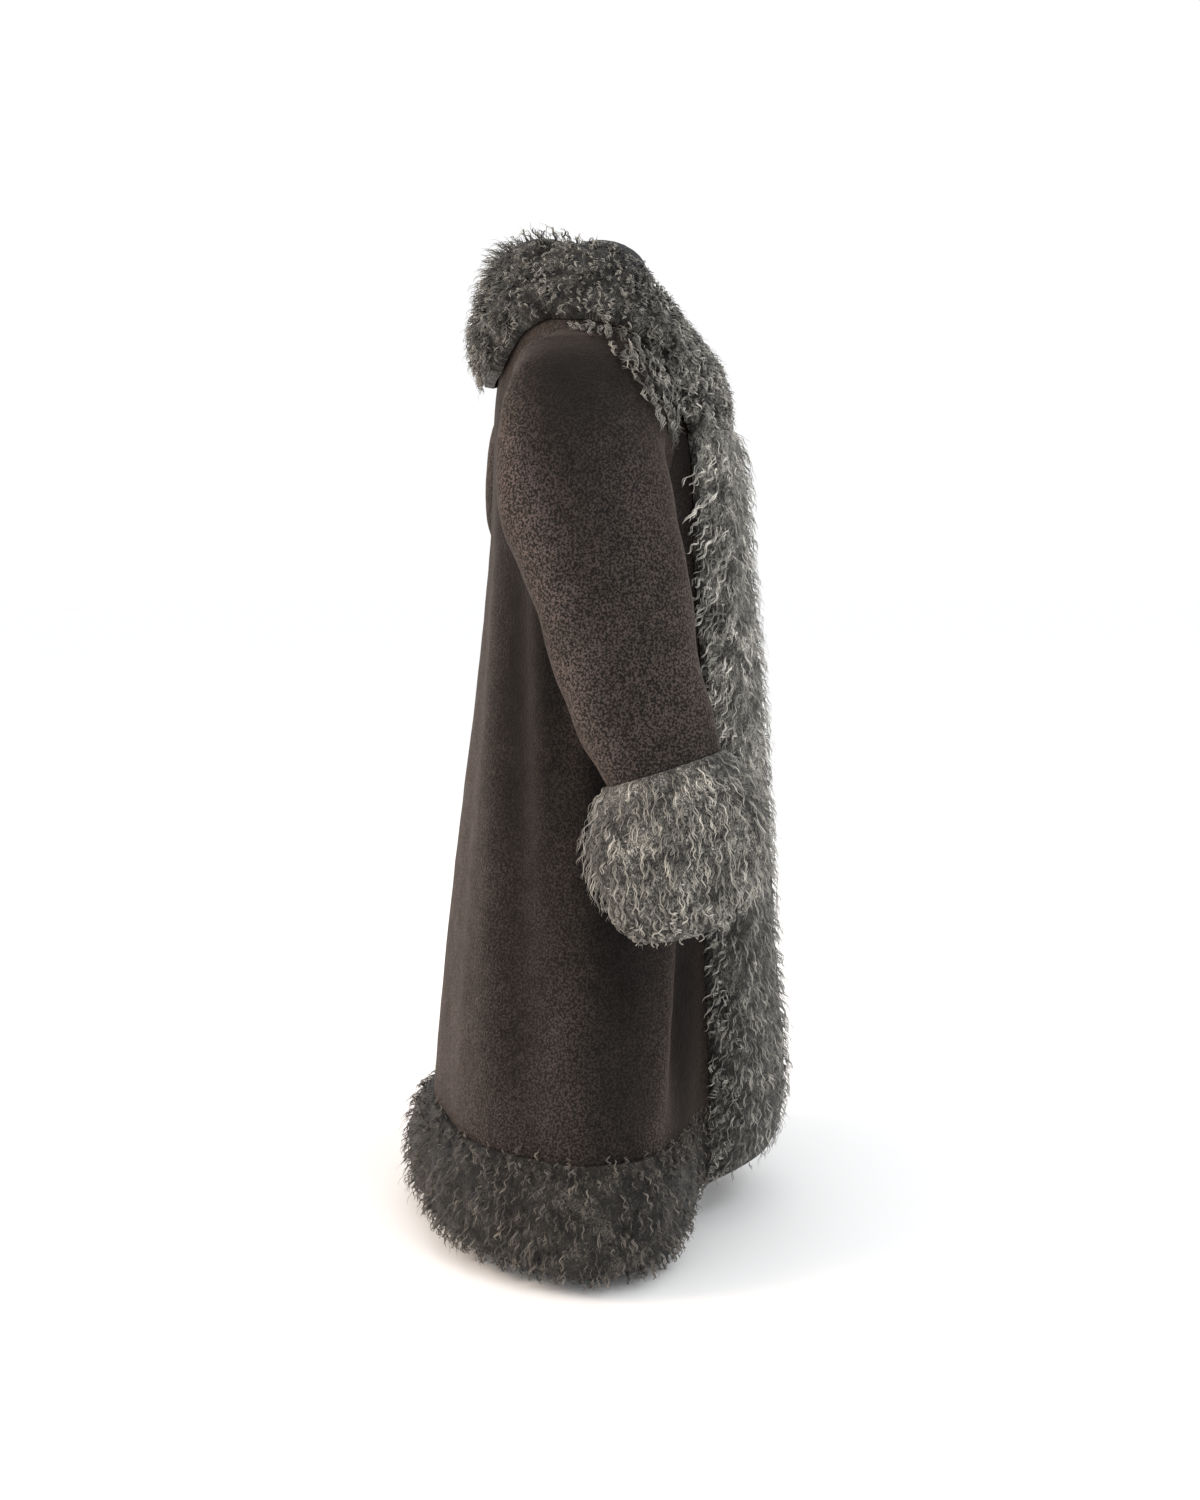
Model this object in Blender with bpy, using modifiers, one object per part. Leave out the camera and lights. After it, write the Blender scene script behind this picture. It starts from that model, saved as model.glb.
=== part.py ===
"""A long teddy coat with curly long-wool trim, standing on a limbless dress form.

The coat's front faces -Y, the wearer's left is +X and +Z is up. The origin is the
centre of the base's underside, on the floor. All sizes are metres and all angles degrees.
"""

import bmesh
import bpy
import numpy as np

# ---------------------------------------------------------------- driving sizes
PLUSH_WALL = 0.005  # plush pile on its backing
SEAM_GAP = 0.0003  # between two pieces that are sewn together
LAID_GAP = 0.0011  # between a trim and the panel it lies on, at its edges
LAID_RISE = 0.0030  # how much more a trim stands off in its middle
FRONT_EDGE_GAP = 0.003  # from the centre-front plane to each front edge
ROUNDNESS = 2.25  # exponent of the oval that each body section is

# The body of the coat, a row for each level from the hem up. The three heights are those
# at centre back, side and centre front; half_width, back and front reach from the axis;
# centre is how far behind the axis the widest place lies.
# Columns: z_back, z_side, z_front, half_width, back, front, centre
SECTIONS = np.array(
    [
        (0.019, 0.013, 0.076, 0.260, 0.214, 0.205, 0.000),  # 0 hem edge
        (0.128, 0.130, 0.152, 0.252, 0.207, 0.201, 0.000),  # 1 hem seam
        (0.290, 0.288, 0.300, 0.234, 0.189, 0.181, 0.000),  # 2 below the knee
        (0.470, 0.470, 0.476, 0.212, 0.165, 0.168, 0.004),  # 3 thigh
        (0.617, 0.617, 0.617, 0.199, 0.144, 0.156, 0.010),  # 4 hip
        (0.757, 0.757, 0.757, 0.190, 0.129, 0.140, 0.018),  # 5 waist
        (0.862, 0.862, 0.862, 0.188, 0.124, 0.135, 0.024),  # 6 chest
        (0.944, 0.944, 0.944, 0.187, 0.120, 0.112, 0.030),  # 7 shoulder blade
        (1.006, 0.994, 0.998, 0.178, 0.105, 0.078, 0.032),  # 8 shoulder tip
        (1.044, 1.032, 1.030, 0.122, 0.084, 0.058, 0.016),  # 9 middle of the shoulder
        (1.077, 1.064, 1.050, 0.069, 0.061, 0.053, 0.003),  # 10 neckline
    ]
)
HEM_EDGE, HEM_SEAM, SHOULDER, NECKLINE = 0, 1, 8, 10

# Large folds of the skirt. Each stands out (or in, where depth is negative) by its depth at
# the hem and dies away at the height top. Positive angles are on the wearer's left.
# Columns: angle, spread, depth, top
FOLDS = np.array(
    [
        (-19.0, 13.0, -0.014, 0.70),
        (-56.0, 9.0, 0.006, 0.86),
        (-83.0, 11.0, 0.028, 0.64),
        (-133.0, 19.0, -0.068, 0.80),
        (23.0, 14.0, -0.013, 0.66),
        (58.0, 9.0, 0.007, 0.84),
        (86.0, 12.0, 0.025, 0.60),
        (131.0, 20.0, -0.062, 0.76),
    ]
)
FOLD_GROWTH = 1.25  # power by which a fold deepens on its way down

# The armhole is an oval in angle and level about the side seam.
SIDE_SEAM = 90.0
ARMHOLE_HALF_ANGLE = 32.0
UNDERARM, ARMHOLE_TOP = 5.42, 8.0
ARMHOLE_MIDDLE = (UNDERARM + ARMHOLE_TOP) / 2
ARMHOLE_HALF = (ARMHOLE_TOP - UNDERARM) / 2
ARMHOLE_LEVEL_METRES = 0.077  # what a level measures there
ARMHOLE_DEGREE_METRES = 0.0022  # what a degree measures there
SLEEVE_TURN_IN = 0.007  # from the armhole's edge out to the sleeve's outer face
# The power that squares the armhole and the sleeve's head at their upper rear: 1 is an
# oval and less is squarer. Columns: ring, power
SQUARED = np.array([(0.0, 0.72), (1.0, 0.50), (2.0, 0.60), (3.0, 0.80), (4.0, 1.00)])

# The sleeve, a row for each ring below the armhole: the point of the ring that faces away
# from the body, the one that faces it, how far it reaches behind and ahead of the axis, and
# how much its front edge is higher than its middle.
# Columns: outer_x, outer_z, inner_x, inner_z, behind, ahead, rise
SLEEVE_RINGS = np.array(
    [
        (0.214, 0.986, 0.195, 0.794, 0.112, 0.044, 0.000),
        (0.247, 0.960, 0.200, 0.784, 0.123, 0.049, 0.000),
        (0.275, 0.908, 0.206, 0.770, 0.127, 0.052, 0.000),
        (0.294, 0.845, 0.212, 0.750, 0.122, 0.057, 0.001),
        (0.306, 0.780, 0.219, 0.720, 0.107, 0.065, 0.004),
        (0.313, 0.710, 0.226, 0.680, 0.086, 0.073, 0.008),
        (0.320, 0.645, 0.237, 0.630, 0.065, 0.081, 0.012),
        (0.326, 0.590, 0.248, 0.582, 0.043, 0.090, 0.016),
        (0.330, 0.552, 0.256, 0.545, 0.018, 0.097, 0.018),
    ]
)
# Creases of the sleeve: distance along it in rings, place round it, reach of each, depth.
# Columns: along, around, length, width, depth
SLEEVE_CREASES = np.array(
    [
        (2.6, 250.0, 0.45, 45.0, -0.005),
        (4.9, 100.0, 0.40, 50.0, -0.004),
        (5.7, 95.0, 0.35, 45.0, -0.005),
        (6.6, 255.0, 0.40, 50.0, -0.004),
    ]
)

# The cuff's wool and its inside, in the sleeve's columns. Both start from the sleeve's last
# ring, made larger or smaller all round by the sizes below.
CUFF_SHOULDER = 0.005  # step from the sleeve out to the wool
CUFF_OUTER = np.array(
    [
        (0.347, 0.5330, 0.246, 0.5270, 0.035, 0.132, 0.016),
        (0.356, 0.5040, 0.242, 0.5000, 0.044, 0.147, 0.012),
        (0.360, 0.4690, 0.241, 0.4670, 0.045, 0.150, 0.008),
        (0.361, 0.4350, 0.242, 0.4340, 0.032, 0.143, 0.010),
        (0.357, 0.4050, 0.246, 0.4050, 0.008, 0.124, 0.012),
        (0.347, 0.3850, 0.256, 0.3850, -0.012, 0.102, 0.010),
    ]
)
CUFF_INNER = np.array(
    [
        (0.3280, 0.5310, 0.2620, 0.5270, 0.013, 0.094, 0.015),
        (0.3300, 0.5030, 0.2640, 0.5010, 0.010, 0.098, 0.012),
        (0.3330, 0.4680, 0.2660, 0.4680, 0.008, 0.102, 0.009),
        (0.3350, 0.4340, 0.2660, 0.4340, 0.003, 0.104, 0.010),
        (0.3360, 0.4050, 0.2660, 0.4050, -0.004, 0.100, 0.012),
        (0.3350, 0.3850, 0.2670, 0.3850, -0.014, 0.096, 0.010),
    ]
)

# The collar's wool, a row for each direction from centre back (0) to centre front (180):
# the level that its outer edge falls to, and its depth at the neck, middle and outer edge.
# Columns: angle, edge_level, neck, middle, edge
COLLAR = np.array(
    [
        (0.0, 7.10, 0.080, 0.054, 0.036),
        (20.0, 7.22, 0.080, 0.054, 0.036),
        (40.0, 7.94, 0.080, 0.052, 0.034),
        (60.0, 8.32, 0.078, 0.049, 0.032),
        (90.0, 8.32, 0.070, 0.045, 0.030),
        (108.0, 8.10, 0.052, 0.040, 0.034),
        (121.0, 7.76, 0.042, 0.036, 0.035),
        (130.0, 6.34, 0.036, 0.035, 0.041),
        (150.0, 6.34, 0.028, 0.028, 0.040),
        (180.0, 6.34, 0.026, 0.026, 0.038),
    ]
)

LAPEL_REAR = 125.0  # the direction of the lapel's rear edge
LAPEL_RISE = 0.002  # how much more the lapel stands off along that edge

# The front band: its rear edge at each level.
# Columns: level, rear_angle
BAND_EDGE = np.array([(0.0, 139.0), (1.0, 139.0), (3.0, 134.0), (5.0, 130.0), (6.4, 131.0)])
BAND_TOP = 6.334  # just under the collar's edge
COLLAR_TOP = 9.98  # just outside the neckline
BAND_DEPTH = 0.038  # how far the band's wool stands off the front
HEM_DEPTH = 0.033  # how far the hem's wool stands off the skirt's line
HEM_THIN_FROM, HEM_THIN_TO = 105.0, 0.68  # past this direction it thins to this share
WOOL_RELIEF = 0.0025  # height of the large locks on every wool surface
ROUND_SHARE = 0.30  # the share of a trim's width that rounds off at each edge
# What is left of a trim's depth at its two edges: first edge, last edge.
HEM_EDGES = (0.30, 0.15)  # seam, lower edge
HEM_LEVEL_METRES = 0.09  # what a level measures at the hem
BAND_EDGES = (0.35, 0.75)  # rear edge, front edge
BAND_ENDS = (0.85, 0.25)  # under the collar, at the hem
COLLAR_EDGES = (0.62, 0.45)  # neck, outer edge
COLLAR_FRONT_SPAN = 8.0  # degrees over which the collar thins to its front edges
COLLAR_FRONT_DEPTH = 0.75  # what is left of its depth there

# The dress form below the shoulders, a row for each height.
# Columns: z, half_width, back, front
FORM_SECTIONS = np.array(
    [
        (0.880, 0.168, 0.106, 0.116),
        (0.800, 0.148, 0.094, 0.110),
        (0.700, 0.128, 0.084, 0.092),
        (0.610, 0.144, 0.098, 0.098),
        (0.520, 0.160, 0.108, 0.106),
        (0.450, 0.152, 0.102, 0.100),
        (0.420, 0.120, 0.080, 0.080),
    ]
)
FORM_CLEAR = 0.0008  # from the form's shoulders to the cloth that rests on them
FORM_TAPER = 0.006  # how much further it draws in a level below the shoulder tip
FORM_ARM_LEVELS = (7.7, 7.3)  # levels of its rings beside the armholes
NECK_RADIUS = 0.053
NECK_TOP = 1.078
CAP_RADIUS = 0.055
CAP_HEIGHT = 0.040
POLE_RADIUS = 0.0125
BASE_RADIUS = 0.125
BASE_THICK = 0.010
BOSS_RADIUS = 0.024
BOSS_TOP = 0.036
FORM_BOTTOM = 0.420

# Numbers of points, along and across each kind of piece.
PANEL_COLUMNS = 10
SKIRT_ROWS = 11
SHOULDER_ROWS = 8
ARMHOLE_ROWS = 13
SLEEVE_STEPS = 16
AROUND_SLEEVE = 20
AROUND_CUFF = 24
CUFF_STEPS = 8
HEM_STEPS = 45
BAND_STEPS = 26
FORM_STEPS = 36
FORM_ROWS = 9


# ---------------------------------------------------------------- curves and surfaces
def smooth_rows(rows, at):
    """Rows of a table read at float row numbers, on a cubic through the rows."""
    last = len(rows) - 1
    at = np.clip(np.asarray(at, float), 0, last)
    low = np.minimum(at.astype(int), last - 1)
    part = (at - low)[..., None]
    before, after = rows[np.maximum(low - 1, 0)], rows[np.minimum(low + 2, last)]
    start, end = rows[low], rows[low + 1]
    slope_in, slope_out = (end - before) / 2, (after - start) / 2
    return (
        start * (1 + 2 * part) * (1 - part) ** 2
        + end * part**2 * (3 - 2 * part)
        + slope_in * part * (1 - part) ** 2
        + slope_out * part**2 * (part - 1)
    )


def fold_height(angle, z):
    """Sum of the skirt's folds: each a bell in the angle that grows towards the hem."""
    total = np.zeros(np.broadcast(angle, z).shape)
    hem_z = SECTIONS[HEM_SEAM, 1]
    for centre, spread, depth, top in FOLDS:
        away = (angle - centre + 180) % 360 - 180
        grown = np.clip((top - z) / (top - hem_z), 0, 1.2) ** FOLD_GROWTH
        total += depth * grown * np.exp(-0.5 * (away / spread) ** 2)
    return total


def coat_point(angle, level):
    """The plush's outer face: an oval for each level, pushed in and out by the folds."""
    angle, level = np.broadcast_arrays(np.asarray(angle, float), np.asarray(level, float))
    row = smooth_rows(SECTIONS, level)
    z_back, z_side, z_front, half_width, back, front, centre = np.moveaxis(row, -1, 0)
    sine, cosine = np.sin(np.radians(angle)), np.cos(np.radians(angle))
    power = 2 / ROUNDNESS
    across = np.sign(sine) * np.abs(sine) ** power
    along = np.sign(cosine) * np.abs(cosine) ** power
    depth = np.where(cosine > 0, back - centre, front + centre)
    end_height = np.where(cosine > 0, z_back, z_front)
    x, y = half_width * across, centre + depth * along
    z = z_side + (end_height - z_side) * cosine**2
    stretch = 1 + fold_height(angle, z) / np.hypot(x, y)
    return np.stack([x * stretch, y * stretch, z], axis=-1)


def coat_normal(angle, level):
    """Unit vector straight out of the coat, from two small steps along its surface."""
    step = 0.02
    top = NECKLINE - step
    level = np.minimum(level, top)
    round_ = coat_point(angle + step, level) - coat_point(angle - step, level)
    up = coat_point(angle, level + step / 2) - coat_point(angle, level - step / 2)
    out = np.cross(up, round_)
    return out / np.linalg.norm(out, axis=-1, keepdims=True)


def off_coat(angle, level, out):
    """A point moved straight out of the coat by out metres (in, where negative)."""
    angle, level = np.broadcast_arrays(np.asarray(angle, float), np.asarray(level, float))
    return coat_point(angle, level) + coat_normal(angle, level) * np.asarray(out)[..., None]


def angle_for(metres, angle, level):
    """The change of angle that is so many metres round the coat at that place."""
    step = 0.05
    run = coat_point(angle + step, level) - coat_point(angle - step, level)
    return metres * 2 * step / np.linalg.norm(run, axis=-1)


def wool_relief(around, along):
    """Large locks: two crossing waves, between -1 and 1."""
    return np.sin(np.radians(around)) * np.sin(along) * 0.6 + 0.4 * np.sin(
        np.radians(0.61 * around) + 1.7 * along
    )


# ---------------------------------------------------------------- making objects
def clear_scene():
    for obj in list(bpy.data.objects):
        bpy.data.objects.remove(obj, do_unlink=True)


def new_material(name, colour, roughness, metallic=0.0):
    material = bpy.data.materials.new(name)
    material.use_nodes = True
    shader = material.node_tree.nodes["Principled BSDF"]
    shader.inputs["Base Color"].default_value = (*colour, 1.0)
    shader.inputs["Roughness"].default_value = roughness
    shader.inputs["Metallic"].default_value = metallic
    return material


def add_object(name, mesh, material, collection):
    mesh.materials.append(material)
    obj = bpy.data.objects.new(name, mesh)
    collection.objects.link(obj)
    return obj


def closed_mesh(name, points, faces, material, collection):
    """A closed body from its points and faces, with its faces turned outwards."""
    mesh = bpy.data.meshes.new(name)
    mesh.from_pydata(points.tolist(), [], faces)
    shape = bmesh.new()
    shape.from_mesh(mesh)
    bmesh.ops.recalc_face_normals(shape, faces=shape.faces)
    shape.to_mesh(mesh)
    shape.free()
    mesh.shade_smooth()
    return add_object(name, mesh, material, collection)


def closed_piece(name, outer, inner, material, collection, ring=False):
    """A piece between two grids of the same shape: its outer face, its inner face and the
    edges that join them. A ring's first and last rows are joined to each other."""
    rows, columns = outer.shape[:2]
    points = np.concatenate([outer, inner[:, ::-1]], axis=1).reshape(-1, 3)
    size = 2 * columns
    faces = []
    for row in range(rows if ring else rows - 1):
        here, there = row * size, (row + 1) % rows * size
        for place in range(size):
            after = (place + 1) % size
            faces.append((here + place, here + after, there + after, there + place))
    if not ring:
        for end in (0, (rows - 1) * size):
            for place in range(columns - 1):
                far = size - 1 - place
                faces.append((end + place, end + place + 1, end + far - 1, end + far))
    return closed_mesh(name, points, faces, material, collection)


# ---------------------------------------------------------------- the plush body
def panel_levels():
    """Levels of a panel's rows: even below the arm, and closer at the armhole's ends."""
    turn = np.radians(np.linspace(-90, 90, ARMHOLE_ROWS))
    below = np.linspace(HEM_SEAM, UNDERARM, SKIRT_ROWS)[:-1]
    above = np.linspace(ARMHOLE_TOP, NECKLINE, SHOULDER_ROWS)[1:]
    return np.concatenate([below, ARMHOLE_MIDDLE + ARMHOLE_HALF * np.sin(turn), above])


def armhole_half_angle(level, power):
    """Half the armhole's width in degrees at a level, nought above and below it. Its upper
    half is squared by the power."""
    place = np.clip((level - ARMHOLE_MIDDLE) / ARMHOLE_HALF, -1, 1)
    power = np.where(place > 0, power, 1.0)
    return ARMHOLE_HALF_ANGLE * (1 - np.abs(place) ** (2 / power)) ** (power / 2)


def panel(name, side, from_angle, to_angle, material, collection):
    """A quarter of the body from a straight seam to the side seam and the armhole's edge."""
    levels = panel_levels()[:, None]
    share = np.linspace(0, 1, PANEL_COLUMNS)[None, :]
    towards = np.sign(to_angle - from_angle)
    first_gap = SEAM_GAP / 2 if from_angle == 0 else FRONT_EDGE_GAP
    start = from_angle + towards * angle_for(first_gap, side * from_angle, levels)
    seam = angle_for(SEAM_GAP / 2, side * to_angle, levels)
    power = SQUARED[0, 1] if from_angle == 0 else 1.0
    end = to_angle - towards * np.maximum(armhole_half_angle(levels, power), seam)
    angle = side * (start + (end - start) * share)
    level = np.broadcast_to(levels, angle.shape)
    outer = off_coat(angle, level, np.zeros(angle.shape))
    inner = off_coat(angle, level, np.full(angle.shape, -PLUSH_WALL))
    return closed_piece(name, outer, inner, material, collection)


# ---------------------------------------------------------------- sleeves and cuffs
def squared(turn, place):
    """Sine and cosine of a turn, with the upper rear quarter squared for that ring."""
    sine, cosine = np.sin(np.radians(turn)), np.cos(np.radians(turn))
    power = np.interp(place, SQUARED[:, 0], SQUARED[:, 1])
    power = np.where((sine > 0) & (cosine > 0), power, 1.0)
    return np.sign(sine) * np.abs(sine) ** power, np.sign(cosine) * np.abs(cosine) ** power


def armhole_ring(side, turn, grown, lift):
    """The armhole's oval on the coat, grown by some metres and lifted off the cloth."""
    sine, cosine = squared(turn, 0.0)
    angle = SIDE_SEAM - (ARMHOLE_HALF_ANGLE + grown / ARMHOLE_DEGREE_METRES) * sine
    level = ARMHOLE_MIDDLE + (ARMHOLE_HALF + grown / ARMHOLE_LEVEL_METRES) * cosine
    return off_coat(side * angle, level, np.full(angle.shape, lift))


def grown_ring(row, metres):
    """A ring's row made larger all round, in its own plane."""
    outer_x, outer_z, inner_x, inner_z, behind, ahead, rise = np.moveaxis(row, -1, 0)
    more = metres / np.hypot(outer_x - inner_x, outer_z - inner_z)
    across_x, across_z = (outer_x - inner_x) * more, (outer_z - inner_z) * more
    rise = rise * (1 + 2 * metres / (behind + ahead))
    ends = (outer_x + across_x, outer_z + across_z, inner_x - across_x, inner_z - across_z)
    return np.stack([*ends, behind + metres, ahead + metres, rise], axis=-1)


def oval_ring(side, turn, row, place):
    """An oval through a ring's outer and inner points. Turn 0 is its outer point and 90
    its rear, its front is higher than its rear by twice its rise, and place is its number
    down the sleeve, for its squaring."""
    outer_x, outer_z, inner_x, inner_z, behind, ahead, rise = np.moveaxis(row, -1, 0)
    sine, cosine = squared(turn, place)
    x = (outer_x + inner_x) / 2 + (outer_x - inner_x) / 2 * cosine
    y = (behind - ahead) / 2 + (behind + ahead) / 2 * sine
    z = (outer_z + inner_z) / 2 + (outer_z - inner_z) / 2 * cosine - rise * sine
    return np.stack([side * x, y, z], axis=-1)


def crease_depth(along, turn):
    """Sum of the sleeve's soft creases, each a bell along and around it."""
    total = np.zeros(np.broadcast(along, turn).shape)
    for place, around, length, width, depth in SLEEVE_CREASES:
        away = (turn - around + 180) % 360 - 180
        total += depth * np.exp(-0.5 * ((along - place) / length) ** 2 - 0.5 * (away / width) ** 2)
    return total


def sleeve_wall(side, turn, steps, wall):
    """Outer or inner face of a sleeve: from the armhole's oval through the table's rings."""
    start = armhole_ring(side, turn, SLEEVE_TURN_IN - wall, LAID_GAP)
    grid = np.empty((len(turn), steps, 3))
    for step, place in enumerate(np.linspace(0, len(SLEEVE_RINGS), steps)):
        row = smooth_rows(SLEEVE_RINGS, np.full(turn.shape, place - 1))
        ring = oval_ring(side, turn, grown_ring(row, crease_depth(place, turn) - wall), place)
        ease = np.clip(place, 0, 1) ** 2 * (3 - 2 * np.clip(place, 0, 1))
        grid[:, step] = start + (ring - start) * ease
    return grid


def sleeve(name, side, material, collection):
    turn = np.arange(AROUND_SLEEVE) * 360 / AROUND_SLEEVE
    outer = sleeve_wall(side, turn, SLEEVE_STEPS, 0.0)
    inner = sleeve_wall(side, turn, SLEEVE_STEPS, PLUSH_WALL)
    return closed_piece(name, outer, inner, material, collection, ring=True)


def cuff_grid(side, turn, rows, step_out, relief):
    """One face of a cuff, with the large locks where relief is not nought."""
    first = grown_ring(SLEEVE_RINGS[-1], step_out)
    table = np.concatenate([first[None], rows])
    share = np.linspace(0, 1, CUFF_STEPS)
    grid = np.empty((len(turn), CUFF_STEPS, 3))
    for step, place in enumerate(share * len(rows)):
        wave = relief * wool_relief(turn * 6, 1.3 * place) * np.sin(np.pi * share[step])
        row = smooth_rows(table, np.full(turn.shape, place))
        grid[:, step] = oval_ring(side, turn, grown_ring(row, wave), len(SLEEVE_RINGS))
    grid[..., 2] -= 1.5 * SEAM_GAP
    return grid


def cuff(name, side, material, collection):
    turn = np.arange(AROUND_CUFF) * 360 / AROUND_CUFF
    outer = cuff_grid(side, turn, CUFF_OUTER, CUFF_SHOULDER, WOOL_RELIEF)
    inner = cuff_grid(side, turn, CUFF_INNER, -PLUSH_WALL, 0.0)
    return closed_piece(name, outer, inner, material, collection, ring=True)


# ---------------------------------------------------------------- wool trims
def rounded(share, start, end):
    """A profile from 0 to 1 that is full in its middle and rounds off to start and end."""
    rise = 1 - np.clip(1 - share / ROUND_SHARE, 0, 1) ** 2
    fall = 1 - np.clip(1 - (1 - share) / ROUND_SHARE, 0, 1) ** 2
    return (start + (1 - start) * rise) * (end + (1 - end) * fall)


def band_rear_angle(level):
    return np.interp(level, BAND_EDGE[:, 0], BAND_EDGE[:, 1])


def collar_row(angle):
    """The collar's table read at an angle on either side of centre back."""
    at = np.abs(angle)
    return [np.interp(at, COLLAR[:, 0], COLLAR[:, column]) for column in range(1, 5)]


def hem_band(name, material, collection):
    """The hem's wool: it carries the skirt's line on and bulges off it."""
    end = band_rear_angle(0.0) - 0.35
    angle = np.linspace(-end, end, HEM_STEPS)[:, None]
    share = np.linspace(0, 1, 9)[None, :]
    top = HEM_SEAM - SEAM_GAP / HEM_LEVEL_METRES
    level = top + (HEM_EDGE - top) * share + 0 * angle
    angle = angle + 0 * share
    wave = WOOL_RELIEF * wool_relief(angle * 9, 3 * share + 1) * np.sin(np.pi * share)
    thin = np.interp(np.abs(angle), (HEM_THIN_FROM, end), (1.0, HEM_THIN_TO))
    depth = HEM_DEPTH * thin * rounded(share, *HEM_EDGES) + wave
    outer = off_coat(angle, level, depth)
    inner = off_coat(angle, level, np.full(angle.shape, -PLUSH_WALL))
    return closed_piece(name, outer, inner, material, collection)


def front_band(name, side, material, collection):
    """The wool down a front edge, from under the collar to the hem."""
    share = np.linspace(0, 1, 8)[None, :]
    fall = np.linspace(0, 1, BAND_STEPS)[:, None]
    level = BAND_TOP + (HEM_EDGE - BAND_TOP) * fall
    rear = band_rear_angle(level)
    front = 180 - angle_for(FRONT_EDGE_GAP, side * 180.0, level)
    angle = rear + (front - rear) * share
    level = level + 0 * share
    wave = WOOL_RELIEF * wool_relief(angle * 7, 14 * fall) * np.sin(np.pi * share)
    ends = rounded(fall, *BAND_ENDS)
    depth = BAND_DEPTH * rounded(share, *BAND_EDGES) * ends + wave
    outer = off_coat(side * angle, level, depth)
    inner = off_coat(side * angle, level, LAID_GAP + LAID_RISE * np.sin(np.pi * share) + 0 * angle)
    return closed_piece(name, outer, inner, material, collection)


def collar(name, material, collection):
    """The shawl collar's wool, from the neckline out over the shoulders and chest."""
    end = 180 - float(angle_for(FRONT_EDGE_GAP, 180.0, 8.0))
    half = np.concatenate([np.arange(0, 40, 10.0), np.arange(40, 175, 5.0), [175.0, end]])
    angle = np.concatenate([-half[:0:-1], half])[:, None]
    share = np.linspace(0, 1, 9)[None, :]
    edge_level, neck, middle, edge = collar_row(angle)
    level = COLLAR_TOP + (edge_level - COLLAR_TOP) * share
    angle = angle + 0 * share
    depth = np.where(
        share < 0.5,
        neck + (middle - neck) * share * 2,
        middle + (edge - middle) * (share * 2 - 1),
    )
    wave = WOOL_RELIEF * wool_relief(angle * 6, 7 * share) * np.sin(np.pi * share)
    inside = 1 - np.clip((end - np.abs(angle)) / COLLAR_FRONT_SPAN, 0, 1)
    sides = 1 - (1 - COLLAR_FRONT_DEPTH) * inside**2
    depth = depth * rounded(share, *COLLAR_EDGES) * sides + wave
    outer = off_coat(angle, level, depth)
    turned_back = np.exp(-0.5 * ((np.abs(angle) - LAPEL_REAR) / 5) ** 2)
    lift = LAID_GAP + LAID_RISE * np.sin(np.pi * share) + LAPEL_RISE * turned_back
    inner = off_coat(angle, level, lift)
    return closed_piece(name, outer, inner, material, collection)


# ---------------------------------------------------------------- the dress form
def form_torso(name, material, collection):
    """The form's trunk: under the coat's shoulders it follows them, and below them it has
    its own waist and hips. Its neck is a short column, and both ends are closed."""
    angle = np.arange(FORM_STEPS) * 360 / FORM_STEPS
    sine, cosine = np.sin(np.radians(angle)), np.cos(np.radians(angle))
    height = np.full(angle.shape, NECK_TOP)
    rings = [np.stack([NECK_RADIUS * sine, NECK_RADIUS * cosine, height], axis=-1)]
    shoulders = panel_levels()[: -SHOULDER_ROWS : -1]
    for level in np.concatenate([shoulders, [ARMHOLE_TOP], FORM_ARM_LEVELS]):
        clear = PLUSH_WALL + FORM_CLEAR + FORM_TAPER * np.clip(ARMHOLE_TOP - level, 0, 1)
        rings.append(off_coat(angle, np.full(angle.shape, level), np.full(angle.shape, -clear)))
    power = 2 / ROUNDNESS
    for row in np.linspace(0, len(FORM_SECTIONS) - 1, FORM_ROWS):
        z, half_width, back, front = smooth_rows(FORM_SECTIONS, row)
        depth = np.where(cosine > 0, back, front)
        x = half_width * np.sign(sine) * np.abs(sine) ** power
        y = depth * np.sign(cosine) * np.abs(cosine) ** power
        rings.append(np.stack([x, y, np.full(angle.shape, z)], axis=-1))
    points = np.concatenate(rings)
    count = len(angle)
    faces = [tuple(range(count)), tuple(range(len(points) - count, len(points)))]
    for ring in range(len(rings) - 1):
        for place in range(count):
            after = (place + 1) % count
            low, high = ring * count, (ring + 1) * count
            faces.append((low + place, low + after, high + after, high + place))
    return closed_mesh(name, points, faces, material, collection)


def turned(name, profile, steps, material, collection):
    """A profile of (radius, height) points, top to bottom, turned about the axis."""
    mesh = bpy.data.meshes.new(name)
    points = [(radius, 0.0, height) for radius, height in profile]
    mesh.from_pydata(points, [(i, i + 1) for i in range(len(points) - 1)], [])
    obj = add_object(name, mesh, material, collection)
    screw = obj.modifiers.new("Turn", "SCREW")
    screw.steps = steps
    screw.render_steps = steps
    screw.use_merge_vertices = True
    screw.merge_threshold = 0.00001
    screw.use_smooth_shade = True
    return obj


def neck_cap(name, material, collection):
    """The rounded cap that closes the form's neck."""
    bottom = NECK_TOP + SEAM_GAP
    turn = np.radians(np.linspace(90, 0, 9))
    dome = [(CAP_RADIUS * np.cos(t), bottom + CAP_HEIGHT * np.sin(t)) for t in turn]
    dome[0] = (0.0, bottom + CAP_HEIGHT)
    return turned(name, dome + [(0.0, bottom)], 24, material, collection)


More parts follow.
